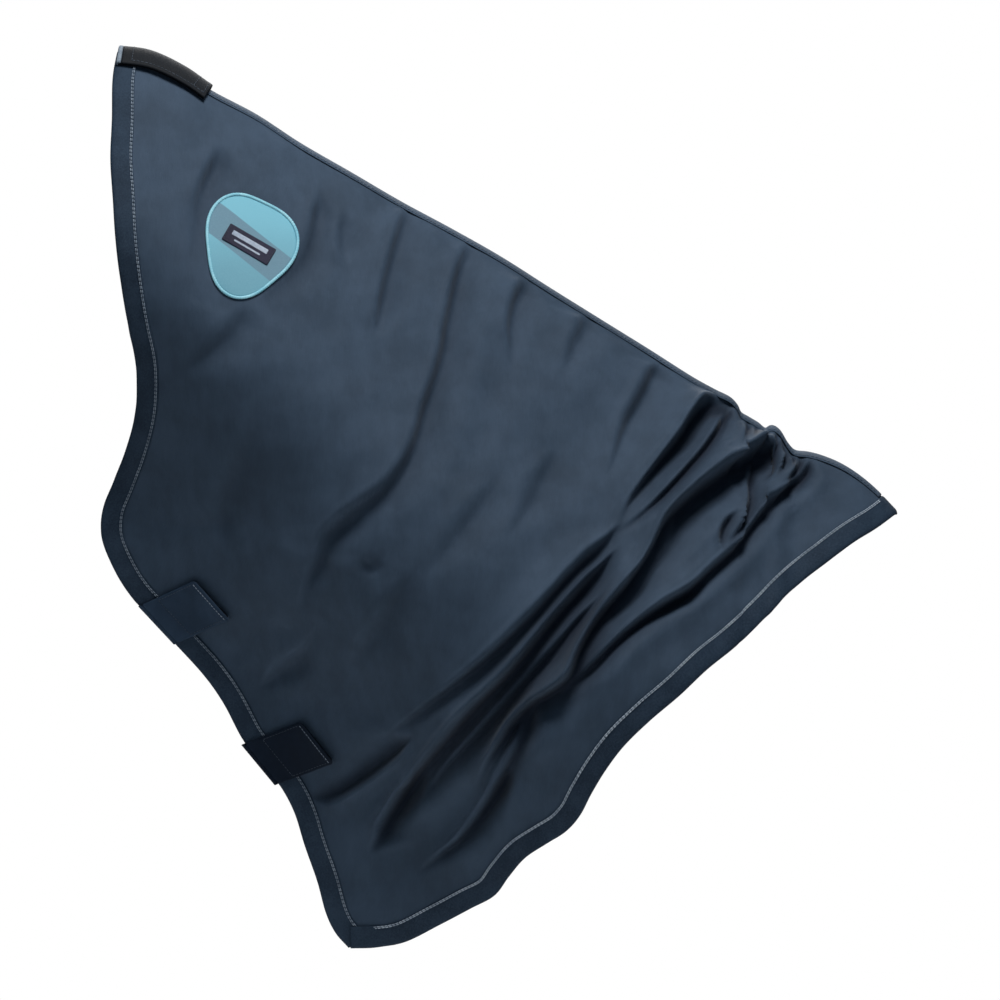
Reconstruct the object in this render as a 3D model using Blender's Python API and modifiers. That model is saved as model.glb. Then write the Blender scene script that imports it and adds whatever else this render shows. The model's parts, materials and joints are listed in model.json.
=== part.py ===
"""Turnout neck cover for a horse: the detachable neck piece of a turnout rug.

It is modelled as it hangs on a horse's neck, the horse facing -X.  Units are
metres and +Z is up.  The near (left) side faces -Y and the off (right) side
faces +Y.  The origin lies on the crest seam, half way along the neck, where
the horse's neck carries the cover.
"""

from math import atan2, cos, hypot, pi, radians, sin, sqrt

import bmesh
import bpy
import numpy as np
from mathutils import Matrix, Vector
from mathutils.bvhtree import BVHTree

MM = 0.001

# Overall sizes
COVER_LENGTH = 837 * MM
COVER_HEIGHT = 937 * MM
FRONT_HALF_WIDTH = 85 * MM
REAR_HALF_WIDTH = 150 * MM
CLOSURE_HALF_GAP = 10 * MM
CREST_RADIUS = 22 * MM

# Cloth layers, counted inwards from the outer face
OUTER_THICKNESS = 1.2 * MM
LINING_THICKNESS = 0.8 * MM
LAYER_GAP = 0.4 * MM
SEAM_HALF_GAP = 0.3 * MM

# Tapes that bind the edges and cover the crest seam
BINDING_WIDTH = 20 * MM
BINDING_THICKNESS = 0.8 * MM
BINDING_GAP = 0.6 * MM
CREST_TAPE_HALF_WIDTH = 15 * MM
CREST_TAPE_THICKNESS = 0.8 * MM

# Touch-tape closures under the throat and at the chest
TAB_WIDTH = 55 * MM
TAB_REACH = 66 * MM
TAB_SEWN_LENGTH = 62 * MM
TAB_THICKNESS = 2.0 * MM
TAB_ANGLE = radians(72)
TAB_EDGE_CLEARANCE = 3.2 * MM
TAB_FOLD_RADIUS = 2.3 * MM
TAB_PLACES = {"throat": 0.235, "chest": 0.585}
TOUCH_TAPE_THICKNESS = 1.0 * MM
TOUCH_TAPE_MARGIN = 2.5 * MM
TOUCH_TAPE_LENGTH = 40 * MM

# Poll strap, which holds the front of the crest to a headcollar
POLL_STRAP_LENGTH = 104 * MM
POLL_STRAP_HALF_WIDTH = 26 * MM
POLL_STRAP_THICKNESS = 2.0 * MM
POLL_STRAP_START = 2 * MM

# Elastic inside the crest, just in front of the withers
ELASTIC_START, ELASTIC_END = 0.805, 0.885
ELASTIC_HALF_WIDTH = 14 * MM
ELASTIC_THICKNESS = 1.2 * MM

# Badge on the near side, placed from the poll end of the crest
BADGE_PLACE = (137.5 * MM, -199.5 * MM)
BADGE_RADIUS = 51 * MM
BADGE_LOBE = 0.095
BADGE_TURN = radians(7)
BADGE_THICKNESS = 0.9 * MM
BADGE_CORD_RADIUS = 1.3 * MM
LABEL_LENGTH, LABEL_WIDTH = 55 * MM, 19 * MM
LABEL_TURN = radians(-30)
LABEL_THICKNESS = 0.6 * MM

# Webbing straps and snap hooks that fasten the cover to the rug
STRAP_WIDTH = 25 * MM
STRAP_THICKNESS = 1.8 * MM
STRAP_LOOP_RADIUS = 5.4 * MM
STRAP_LOOP_BORE = 3.5 * MM
SIDE_STRAP_LENGTH = 52 * MM
WITHERS_STRAP_LENGTH = 30 * MM
SIDE_CLIP_PLACE = (548 * MM, -530 * MM)
PATCH_TO_ELASTIC = 0.3 * MM
PATCH_WIDTH, PATCH_HEIGHT, PATCH_THICKNESS = 38 * MM, 32 * MM, 1.2 * MM
WALL_CLEARANCE = 4 * MM
HOOK_THICKNESS = 4 * MM
HOOK_BAR = 4 * MM
EYE_SLOT_WIDTH, EYE_SLOT_HEIGHT = 27 * MM, 7 * MM
HOOK_OUTER_RADIUS, HOOK_INNER_RADIUS = 13 * MM, 8.5 * MM
GATE_WIDTH = 3.6 * MM
GATE_CHEEK = 1.0 * MM
GATE_CLEARANCE = 0.3 * MM
PIN_RADIUS = 0.8 * MM
PIN_CLEARANCE = 0.1 * MM

# Fineness of the meshes
COLUMNS, ROWS = 22, 16
CREST_ROWS = 4
CREST_ROWS_SHARE = 0.10
RELAX_ROUNDS = 200
EASE_ROUNDS = 3
EASE = 0.15 * MM
CURVE_SAMPLES = 24

# The cut of one side, as shares of the cover's length from its front and of
# its height from its lowest point.  The four edges meet at the poll, throat,
# chest and withers corners.
CREST_CUT = [(0.021, 1.0), (0.061, 0.991), (0.139, 0.956), (0.281, 0.892), (0.407, 0.827),
             (0.532, 0.758), (0.683, 0.677), (0.795, 0.610), (0.823, 0.589), (0.847, 0.580),
             (0.873, 0.556), (0.915, 0.547), (0.952, 0.527), (0.999, 0.489)]
FRONT_CUT = [(0.021, 1.0), (0.016, 0.939), (0.018, 0.827), (0.024, 0.769), (0.035, 0.710),
             (0.045, 0.665), (0.048, 0.626), (0.040, 0.586), (0.023, 0.536), (0.006, 0.497),
             (0.0, 0.469)]
UNDER_CUT = [(0.0, 0.469), (0.006, 0.445), (0.026, 0.413), (0.062, 0.379), (0.124, 0.309),
             (0.178, 0.239), (0.231, 0.175), (0.254, 0.132), (0.274, 0.087), (0.289, 0.043),
             (0.301, 0.004)]
REAR_CUT = [(0.999, 0.489), (0.959, 0.462), (0.858, 0.396), (0.758, 0.312), (0.683, 0.232),
            (0.607, 0.161), (0.557, 0.116), (0.532, 0.101), (0.482, 0.055), (0.432, 0.030),
            (0.381, 0.011), (0.338, 0.002), (0.301, 0.004)]
ORIGIN_CUT = (0.407, 0.827)

NEAR, OFF = -1, 1
SIDE_NAMES = {NEAR: "near", OFF: "off"}

# Shape of the cross-section, from the crest (0) to the closure under the neck (1)
NECK_SLOPE = radians(38)
SECTION_PEAK = 0.55
TUCK_STARTS = 0.40

# Colours are linear RGB, with roughness and metallic
FINISHES = {
    "outer_cloth": ((0.040, 0.058, 0.082), 0.72, 0.0),
    "lining_cloth": ((0.018, 0.024, 0.034), 0.55, 0.0),
    "binding_tape": ((0.012, 0.019, 0.030), 0.80, 0.0),
    "touch_tape": ((0.006, 0.010, 0.017), 0.95, 0.0),
    "webbing": ((0.008, 0.011, 0.018), 0.75, 0.0),
    "elastic": ((0.010, 0.012, 0.018), 0.85, 0.0),
    "badge_cloth": ((0.120, 0.400, 0.510), 0.60, 0.0),
    "badge_cord": ((0.230, 0.620, 0.720), 0.55, 0.0),
    "label_weave": ((0.018, 0.016, 0.030), 0.60, 0.0),
    "zinc": ((0.560, 0.570, 0.580), 0.32, 1.0),
}


# ---------------------------------------------------------------- curves and the skin

def rounded(points):
    """A smooth line through the points, as a dense array (Catmull-Rom)."""
    points = np.array(points, float)
    padded = np.vstack([2 * points[0] - points[1], points, 2 * points[-1] - points[-2]])
    line = []
    for a, b, c, d in zip(padded, padded[1:], padded[2:], padded[3:]):
        for t in np.linspace(0, 1, CURVE_SAMPLES, endpoint=False):
            line.append(0.5 * (2 * b + (c - a) * t + (2 * a - 5 * b + 4 * c - d) * t**2
                               + (3 * b - a - 3 * c + d) * t**3))
    return np.array(line + [points[-1]])


def edge_line(cut):
    """One edge of the cut, in metres in the XZ plane."""
    shares = np.array(cut) - np.array(ORIGIN_CUT)
    return rounded(shares * (COVER_LENGTH, COVER_HEIGHT))


def along(line, share):
    """The point at this share of a line's length, and the line's direction there."""
    lengths = np.concatenate([[0], np.cumsum(np.linalg.norm(np.diff(line, axis=0), axis=1))])
    here = share * lengths[-1]
    step = 4 * MM
    back, point, ahead = (
        np.array([np.interp(s, lengths, line[:, k]) for k in (0, 1)])
        for s in (here - step, here, here + step)
    )
    return point, (ahead - back) / np.linalg.norm(ahead - back)


def line_length(line):
    return float(np.linalg.norm(np.diff(line, axis=0), axis=1).sum())


INNER_LEVEL = -(OUTER_THICKNESS + LAYER_GAP + LINING_THICKNESS)
ROW_PLACES = np.concatenate([
    CREST_ROWS_SHARE * np.linspace(0, 1, CREST_ROWS, endpoint=False)**1.8,
    np.linspace(CREST_ROWS_SHARE, 1, ROWS + 1 - CREST_ROWS)])
COLUMN_PLACES = np.linspace(0, 1, COLUMNS + 1)
LAID_ON = {}
CREST, FRONT, UNDER, REAR = map(edge_line, (CREST_CUT, FRONT_CUT, UNDER_CUT, REAR_CUT))
POLL, THROAT, CHEST, WITHERS = CREST[0], UNDER[0], UNDER[-1], CREST[-1]
CREST_DROP = (WITHERS - POLL) / np.linalg.norm(WITHERS - POLL)
UNDER_LEAN = (THROAT - CHEST) / np.linalg.norm(THROAT - CHEST)


def smooth(low, high, value):
    t = min(1.0, max(0.0, (value - low) / (high - low)))
    return t * t * (3 - 2 * t)


def crest_depth(x, z):
    """How far a point lies below the crest, square to the crest."""
    return (np.interp(x, CREST[:, 0], CREST[:, 1]) - z) * CREST_DROP[0]


def under_depth(x, z):
    """How far a point lies from the closure under the neck, or from its line carried on upwards."""
    if z < THROAT[1]:
        edge = np.interp(z, UNDER[::-1, 1], UNDER[::-1, 0])
    else:
        edge = THROAT[0] + (z - THROAT[1]) * UNDER_LEAN[0] / UNDER_LEAN[1]
    return max(0.0, (x - edge) * UNDER_LEAN[1])


def half_width_squared(x, z):
    """The square of the cover's half-width.  It passes smoothly through zero at the crest."""
    below, above = crest_depth(x, z), under_depth(x, z)
    depth = max(below + above, MM)
    run = (x - POLL[0]) * cos(NECK_SLOPE) - (z - POLL[1]) * sin(NECK_SLOPE)
    widest = FRONT_HALF_WIDTH + (REAR_HALF_WIDTH - FRONT_HALF_WIDTH) * smooth(
        0.1 * COVER_LENGTH, 1.1 * COVER_LENGTH, run)
    square = 2 * CREST_RADIUS * below + (widest * below / (SECTION_PEAK * depth))**2
    tuck = smooth(TUCK_STARTS, 1.0, below / depth)
    if tuck == 0:
        return square
    return (sqrt(square) * (1 - tuck) + CLOSURE_HALF_GAP * tuck)**2


def outward(point):
    """The outward normal of the cover's face at a point on it."""
    step = 0.5 * MM
    x, y, z = point
    slope_x = half_width_squared(x + step, z) - half_width_squared(x - step, z)
    slope_z = half_width_squared(x, z + step) - half_width_squared(x, z - step)
    return Vector((-slope_x / (4 * step), y, -slope_z / (4 * step))).normalized()


def skin(x, z, lift=0.0, side=NEAR):
    """A point on the cover's outer face, raised by lift along the face's outward normal."""
    point = Vector((x, side * sqrt(max(0.0, half_width_squared(x, z))), z))
    return point + lift * outward(point)


def cut_grid():
    """The side's cut as a grid of points in the XZ plane, columns from front to rear."""
    down, across = ROW_PLACES, COLUMN_PLACES
    crest = np.array([along(CREST, s)[0] for s in across])
    under = np.array([along(UNDER, s)[0] for s in across])
    front = np.array([along(FRONT, s)[0] for s in down])
    rear = np.array([along(REAR, s)[0] for s in down])
    u, v = across[:, None, None], down[None, :, None]
    grid = ((1 - v) * crest[:, None] + v * under[:, None] + (1 - u) * front[None] + u * rear[None]
            - (1 - u) * (1 - v) * POLL - u * (1 - v) * WITHERS - (1 - u) * v * THROAT
            - u * v * CHEST)
    for _ in range(RELAX_ROUNDS):
        grid[1:-1, 1:-1] = (grid[:-2, 1:-1] + grid[2:, 1:-1] + grid[1:-1, :-2]
                            + grid[1:-1, 2:]) / 4
    return grid


def relaxed_rows(grid):
    """The grid with each column's points spaced again, close together at the crest."""
    for i in range(1, COLUMNS):
        grid[i] = [along(grid[i].copy(), v)[0] for v in ROW_PLACES]
    return grid


CUT = relaxed_rows(cut_grid())


# ---------------------------------------------------------------- modelling helpers

def clear_scene():
    for obj in list(bpy.data.objects):
        bpy.data.objects.remove(obj)
    for name in ("Neck cover", "Cutters"):
        bpy.context.scene.collection.children.link(bpy.data.collections.new(name))


def finish_of(slot):
    """The material of a slot, made once."""
    found = bpy.data.materials.get(slot)
    if found:
        return found
    colour, roughness, metallic = FINISHES[slot]
    material = bpy.data.materials.new(slot)
    material.use_nodes = True
    shader = material.node_tree.nodes["Principled BSDF"]
    shader.inputs["Base Color"].default_value = (*colour, 1.0)
    shader.inputs["Roughness"].default_value = roughness
    shader.inputs["Metallic"].default_value = metallic
    material.diffuse_color = (*colour, 1.0)
    return material


def new_part(name, data, slot, parent=None):
    part = bpy.data.objects.new(name, data)
    bpy.data.collections["Neck cover"].objects.link(part)
    data.materials.append(finish_of(slot))
    if parent:
        part.parent = parent
        part.matrix_parent_inverse = parent.matrix_basis.inverted()
    return part


def new_cutter(name, corner_low, corner_high):
    """A box that cuts other parts and isn't a part itself."""
    bm = bmesh.new()
    bmesh.ops.create_cube(bm, size=1.0)
    low, high = Vector(corner_low), Vector(corner_high)
    for vert in bm.verts:
        vert.co = Vector(low[k] + (vert.co[k] + 0.5) * (high[k] - low[k]) for k in range(3))
    mesh = bpy.data.meshes.new(name)
    bm.to_mesh(mesh)
    bm.free()
    cutter = bpy.data.objects.new(name, mesh)
    bpy.data.collections["Cutters"].objects.link(cutter)
    cutter.hide_render = True
    cutter.display_type = "WIRE"
    return cutter


def boolean(part, other, operation="DIFFERENCE"):
    modifier = part.modifiers.new(operation.title(), "BOOLEAN")
    modifier.operation = operation
    modifier.object = other


def cloth_place(grid, lift):
    """Gives the point of the cloth for each corner of a grid that runs from one side's lower
    edge over the crest to the other's."""
    def place(i, j):
        row = j - ROWS
        x, z = grid[i, abs(row)]
        return skin(x, z, lift, NEAR if row < 0 else OFF)
    return place


def sheet_mesh(name, columns, rows, place):
    """A grid of cloth whose corner (i, j) lies at place(i, j)."""
    bm = bmesh.new()
    bmesh.ops.create_grid(bm, x_segments=columns, y_segments=rows, size=1.0)
    for vert in bm.verts:
        i = round((vert.co.x + 1) / 2 * columns)
        j = round((vert.co.y + 1) / 2 * rows)
        vert.co = place(i, j)
    bmesh.ops.triangulate(bm, faces=bm.faces)
    mesh = bpy.data.meshes.new(name)
    bm.to_mesh(mesh)
    bm.free()
    return mesh


def lay(spot, way, lift, reach=CLOSURE_HALF_GAP):
    """Where the cloth lies along a line through a spot near it, raised to lift."""
    level = INNER_LEVEL if lift < 0 else 0.0
    if level not in LAID_ON:
        sheet = sheet_mesh("laid_on", COLUMNS, 2 * ROWS, cloth_place(CUT, level))
        LAID_ON[level] = BVHTree.FromPolygons([v.co for v in sheet.vertices],
                                              [tuple(f.vertices) for f in sheet.polygons])
    start = spot - CLOSURE_HALF_GAP * way
    hit = LAID_ON[level].ray_cast(start, way, CLOSURE_HALF_GAP + reach)[0]
    return None if hit is None else hit + (lift - level) * outward(hit)


def on_side(x, z, lift, side=NEAR):
    """A point on one side of the cloth, raised by lift."""
    point = skin(x, z, 0.0, side)
    normal = outward(point)
    found = lay(point, -normal, lift)
    return point + lift * normal if found is None else found


def clear_of_cloth(mesh, gap, layer):
    """Moves a laid sheet's corners away wherever its faces come nearer to the cloth than gap.
    layer(corner) is 1 outside the cloth, -1 inside it and 0 at a fold."""
    for _ in range(EASE_ROUNDS):
        moves = {}
        for face in mesh.polygons:
            layers = {layer(k) for k in face.vertices} - {0}
            if len(layers) != 1:
                continue
            a, b, c = (mesh.vertices[k].co for k in face.vertices)
            spots = [(a + b) / 2, (b + c) / 2, (c + a) / 2, (a + b + c) / 3,
                     (4 * a + b + c) / 6, (a + 4 * b + c) / 6, (a + b + 4 * c) / 6]
            wanted = max((short_of(spot, gap, min(layers)) for spot in spots), default=0.0)
            for k in face.vertices:
                moves[k] = max(moves.get(k, 0.0), wanted)
        for k, amount in moves.items():
            spot = mesh.vertices[k].co
            mesh.vertices[k].co += layer(k) * amount * outward(spot)


def short_of(spot, gap, layer):
    """How much further a spot must lie from the cloth to be clear of it by gap."""
    normal = outward(spot)
    face = lay(spot, -normal, 0.0 if layer > 0 else INNER_LEVEL)
    return 0.0 if face is None else gap - layer * (spot - face).dot(normal)


def layer_of(lift):
    """The layer of a sheet that lies at one lift throughout."""
    return lambda corner: 1 if lift > 0 else -1


def off_cloth(lift):
    """How far a lift is from the nearer face of the cloth."""
    return lift if lift > 0 else INNER_LEVEL - lift


def on_crest(distance, y, lift):
    """A point on the cloth near the crest, y from the middle plane, raised by lift."""
    point, tangent = along(CREST, distance / line_length(CREST))
    up = Vector((-tangent[1], 0.0, tangent[0]))
    return lay(Vector((point[0], y, point[1])), -up, lift, COVER_LENGTH / 10)


def thicken(part, thickness, grows, towards):
    """Solidify a sheet.  grows is 1 to thicken along towards, or -1 to thicken against it."""
    faces = part.data.polygons
    facing = sum(face.normal.dot(towards(face.center)) * face.area for face in faces)
    if facing < 0:
        part.data.flip_normals()
    solid = part.modifiers.new("Solidify", "SOLIDIFY")
    solid.thickness = thickness
    solid.offset = grows
    solid.use_even_offset = True


def empty_at(name, point):
    """The pivot of a moving piece."""
    pivot = bpy.data.objects.new(name, None)
    bpy.data.collections["Neck cover"].objects.link(pivot)
    pivot.location = point
    pivot.empty_display_size = 0.02
    return pivot


# ---------------------------------------------------------------- cloth shells and tapes

def cloth_shell(name, slot, side, lift, thickness):
    """One side of a cloth layer.  It is bent over the crest as a whole and cut at the seam."""
    sheet = sheet_mesh(name, COLUMNS, 2 * ROWS, cloth_place(CUT, lift))
    shell = new_part(name, sheet, slot)
    thicken(shell, thickness, -1, outward)
    keep_side(shell, side)
    return shell


def keep_side(part, side):
    """Cuts a part off at the crest seam."""
    reach = COVER_LENGTH + COVER_HEIGHT
    low, high = (SEAM_HALF_GAP, reach) if side == OFF else (-reach, -SEAM_HALF_GAP)
    half = new_cutter(f"{part.name}_half", (-reach, low, -reach), (reach, high, reach))
    boolean(part, half, "INTERSECT")


def bound_edge(name, stations, side, start_along):
    """Tape folded over a raw edge.  stations are (line, share) pairs along the edge, the first of
    them on the crest, where the tape ends along the direction start_along."""
    inner = INNER_LEVEL - BINDING_GAP
    middle = (BINDING_GAP + inner) / 2
    profile = [(BINDING_WIDTH, BINDING_GAP), (0, BINDING_GAP), (-BINDING_GAP, middle),
               (0, inner), (BINDING_WIDTH, inner)]
    interior = (POLL + THROAT + CHEST + WITHERS) / 4

    def across_edge(i):
        """The profile's points in XZ at a station."""
        line, share = stations[i]
        point, tangent = along(line, share)
        square = np.array([-tangent[1], tangent[0]])
        if square @ (interior - point) < 0:
            square = -square
        gone = np.linalg.norm(point - along(*stations[0])[0])
        blend = smooth(0, 4 * BINDING_WIDTH, gone)
        inward = (1 - blend) * start_along + blend * square
        inward = inward / (inward @ square)
        return [point + inward * distance for distance, _ in profile]

    def place(i, j):
        distance, lift = profile[j]
        before, after = across_edge(i // 2)[j], across_edge((i + 1) // 2)[j]
        if distance <= 0:
            return (skin(*before, lift, side) + skin(*after, lift, side)) / 2
        x, z = (before + after) / 2
        return on_side(x, z, lift, side)

    sheet = sheet_mesh(name, 2 * len(stations) - 2, len(profile) - 1, place)
    layers = (1, 1, 0, -1, -1)
    clear_of_cloth(sheet, BINDING_GAP - EASE, lambda k: layers[k // (2 * len(stations) - 1)])
    tape = new_part(name, sheet, "binding_tape")

    def away(centre):
        normal = outward(centre)
        depth = (centre - skin(centre.x, centre.z, middle, side)).dot(normal)
        return normal * (1 if depth > 0 else -1)

    thicken(tape, BINDING_THICKNESS, 1, away)
    keep_side(tape, side)
    return tape


def saddle(name, slot, start, end, half_width, lift, thickness, parent=None):
    """A strip astride the crest, between two distances along it."""
    columns = [place * line_length(CREST) for place in COLUMN_PLACES]
    stations = [start] + [c for c in columns if start + 8 * MM < c < end - 8 * MM] + [end]
    stations = sorted(stations + [(a + b) / 2 for a, b in zip(stations, stations[1:])])
    half_steps = 3

    def place(i, j):
        return on_crest(stations[i], half_width * (j - half_steps) / half_steps, lift)

    sheet = sheet_mesh(name, len(stations) - 1, 2 * half_steps, place)
    clear_of_cloth(sheet, off_cloth(lift) - EASE, layer_of(lift))
    strip = new_part(name, sheet, slot, parent)
    thicken(strip, thickness, 1, outward)
    return strip


def pad(name, slot, corner, across, down, lift, thickness, side=NEAR, steps=(4, 4), parent=None):
    """A four-sided patch that follows the outer face.  across and down are its sides in XZ."""
    def place(i, j):
        x, z = corner + across * i / steps[0] + down * j / steps[1]
        return on_side(x, z, lift, side)

    sheet = sheet_mesh(name, steps[0], steps[1], place)
    clear_of_cloth(sheet, off_cloth(lift) - EASE, layer_of(lift))
    patch = new_part(name, sheet, slot, parent)
    thicken(patch, thickness, 1, outward)
    return patch


# ---------------------------------------------------------------- sub-assemblies

def make_shells():
    for side, word in SIDE_NAMES.items():
        cloth_shell(f"{word}_side_outer", "outer_cloth", side, 0.0, OUTER_THICKNESS)
        cloth_shell(f"{word}_side_lining", "lining_cloth", side,
                    -(OUTER_THICKNESS + LAYER_GAP), LINING_THICKNESS)


def make_bindings():
    front = [(FRONT, v) for v in ROW_PLACES] + [(UNDER, u) for u in COLUMN_PLACES[1:]]
    short = 1 - (BINDING_WIDTH + 4 * BINDING_GAP) / line_length(REAR)
    rear = [(REAR, v) for v in ROW_PLACES if v < short - 0.01] + [(REAR, short)]
    for side, word in SIDE_NAMES.items():
        bound_edge(f"{word}_front_binding", front, side, along(CREST, 0.0)[1])
        bound_edge(f"{word}_rear_binding", rear, side, -along(CREST, 1.0)[1])


def make_crest():
    """The tape over the crest seam, and the elastic that gathers the crest from inside."""
    length = line_length(CREST)
    clear_of_binding = BINDING_WIDTH + 4 * BINDING_GAP + BINDING_THICKNESS
    saddle("crest_seam_tape", "binding_tape", clear_of_binding, length - clear_of_binding,
           CREST_TAPE_HALF_WIDTH, BINDING_GAP, CREST_TAPE_THICKNESS)
    inside = INNER_LEVEL - LAYER_GAP - ELASTIC_THICKNESS
    saddle("withers_elastic", "elastic", ELASTIC_START * length, ELASTIC_END * length,
           ELASTIC_HALF_WIDTH, inside, ELASTIC_THICKNESS)


def make_poll_strap():
    """A strap sewn along the crest, whose upper layer folds back over it and peels open."""
    base_lift = BINDING_GAP + CREST_TAPE_THICKNESS + 2 * BINDING_GAP
    flap_lift = base_lift + POLL_STRAP_THICKNESS + LAYER_GAP
    start, end = POLL_STRAP_START, POLL_STRAP_START + POLL_STRAP_LENGTH
    saddle("poll_strap_base", "touch_tape", start, end, POLL_STRAP_HALF_WIDTH, base_lift,
           POLL_STRAP_THICKNESS)
    point, tangent = along(CREST, start / line_length(CREST))
    up = flap_lift + POLL_STRAP_THICKNESS / 2
    fold = point + np.array([-tangent[1], tangent[0]]) * up
    pivot = empty_at("poll_strap_pivot", (fold[0], 0.0, fold[1]))
    saddle("poll_strap_flap", "webbing", start, end, POLL_STRAP_HALF_WIDTH, flap_lift,
           POLL_STRAP_THICKNESS, pivot)
    return pivot


def make_tab(place, share):
    """A closure: its base is sewn to the off side and comes round the edge to a flap that touch
    tape holds on the near side."""
    fold, tangent = along(UNDER, share)
    length_way = np.array([cos(TAB_ANGLE) * tangent[0] - sin(TAB_ANGLE) * tangent[1],
                           sin(TAB_ANGLE) * tangent[0] + cos(TAB_ANGLE) * tangent[1]])
    corner = fold - tangent * TAB_WIDTH / 2
    width = tangent * TAB_WIDTH
    pad_lift = BINDING_GAP
    hook_lift = pad_lift + TOUCH_TAPE_THICKNESS + LAYER_GAP
    flap_lift = hook_lift + TOUCH_TAPE_THICKNESS + LAYER_GAP + 2 * EASE
    base_lift = 2 * BINDING_GAP + BINDING_THICKNESS

    half_share = 0.6 * TAB_WIDTH / line_length(UNDER)
    square = np.array([-tangent[1], tangent[0]])
    bulge = max((fold - along(UNDER, s)[0]) @ square / (length_way @ square)
                for s in np.linspace(share - half_share, share + half_share, 25))
    clear = TAB_EDGE_CLEARANCE + bulge
    hinge_out = flap_lift + TAB_THICKNESS / 2
    outside = clear + TAB_THICKNESS / 2
    ends = []
    for end in (corner, corner + width):
        level = skin(*(end + length_way * 2 * BINDING_GAP), hinge_out).y
        ends.append(Vector((*(end - length_way * outside), level)).xzy)
    pivot = empty_at(f"{place}_tab_pivot", (ends[0] + ends[1]) / 2)

    flap_start = length_way * (TAB_FOLD_RADIUS - outside)
    pad(f"{place}_tab_flap", "outer_cloth", corner + flap_start, width,
        length_way * (TAB_REACH + outside - TAB_FOLD_RADIUS), flap_lift, TAB_THICKNESS,
        steps=(4, 6), parent=pivot)
    tape_corner = (corner + length_way * (TAB_REACH - TOUCH_TAPE_LENGTH - TOUCH_TAPE_MARGIN)
                   + tangent * TOUCH_TAPE_MARGIN)
    tape_width = tangent * (TAB_WIDTH - 2 * TOUCH_TAPE_MARGIN)
    tape_length = length_way * TOUCH_TAPE_LENGTH
    pad(f"{place}_tab_hook_tape", "touch_tape", tape_corner, tape_width, tape_length,
        hook_lift, TOUCH_TAPE_THICKNESS, parent=pivot)
    pad(f"{place}_loop_tape", "touch_tape", tape_corner, tape_width, tape_length,
        pad_lift, TOUCH_TAPE_THICKNESS)

    base_steps = 4
    stop = hinge_out - TAB_FOLD_RADIUS

    def base_place(i, j):
        end = corner + width * i / 4
        edge_level = skin(*(end + length_way * 2 * BINDING_GAP), 0.0).y
        if j <= base_steps:
            x, z = end + length_way * TAB_SEWN_LENGTH * (1 - j / base_steps)
            return on_side(x, z, base_lift, OFF)
        wrap = [(-bulge - base_lift, base_lift - edge_level), (-clear, base_lift / 4 - edge_level),
                (-clear, 0.0), (-clear, edge_level - stop)]
        ahead, y = wrap[j - base_steps - 1]
        x, z = end + length_way * ahead
        return Vector((x, y, z))

    sheet = sheet_mesh(f"{place}_tab_base", 4, base_steps + 4, base_place)
    clear_of_cloth(sheet, base_lift - EASE, lambda k: 1 if k // 5 < base_steps else 0)
    base = new_part(f"{place}_tab_base", sheet, "outer_cloth")
    front_way = Vector((-length_way[0], 0.0, -length_way[1]))
    thicken(base, TAB_THICKNESS, 1,
            lambda p: outward(p) if p.y > CLOSURE_HALF_GAP else front_way)
    return ends


def badge_outline(turn):
    """The badge's edge, a circle with three soft lobes, at this angle from +X."""
    radius = BADGE_RADIUS * (1 + BADGE_LOBE * cos(3 * (turn - BADGE_TURN)))
    return np.array([cos(turn), sin(turn) * 1.04]) * radius


def make_badge():
    centre = POLL + np.array(BADGE_PLACE)
    steps = 10
    shrink = 1 - (BADGE_CORD_RADIUS + 0.5 * MM) / BADGE_RADIUS

    def place(i, j):
        a, b = 2 * i / steps - 1, 2 * j / steps - 1
        across, up = a * sqrt(1 - b * b / 2), b * sqrt(1 - a * a / 2)
        x, z = centre + badge_outline(atan2(up, across)) * hypot(across, up) * shrink
        return on_side(x, z, LAYER_GAP)

    sheet = sheet_mesh("badge", steps, steps, place)
    clear_of_cloth(sheet, LAYER_GAP - EASE, layer_of(LAYER_GAP))
    cloth = new_part("badge", sheet, "badge_cloth")
    thicken(cloth, BADGE_THICKNESS, 1, outward)

    cord_steps = 48
    curve = bpy.data.curves.new("badge_edge_cord", "CURVE")
    curve.dimensions = "3D"
    curve.bevel_depth = BADGE_CORD_RADIUS
    curve.bevel_resolution = 1
    spline = curve.splines.new("POLY")
    spline.points.add(cord_steps - 1)
    for k, point in enumerate(spline.points):
        x, z = centre + badge_outline(2 * pi * k / cord_steps)
        point.co = (*on_side(x, z, 1.6 * LAYER_GAP + BADGE_CORD_RADIUS), 1.0)
    spline.use_cyclic_u = True
    new_part("badge_edge_cord", curve, "badge_cord")

    across = np.array([cos(LABEL_TURN), sin(LABEL_TURN)]) * LABEL_LENGTH
    down = np.array([sin(LABEL_TURN), -cos(LABEL_TURN)]) * LABEL_WIDTH
    pad("badge_label", "label_weave", centre - (across + down) / 2, across, down,
        LAYER_GAP + BADGE_THICKNESS + LAYER_GAP, LABEL_THICKNESS, steps=(6, 2))


# ---------------------------------------------------------------- rug clips

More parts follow.
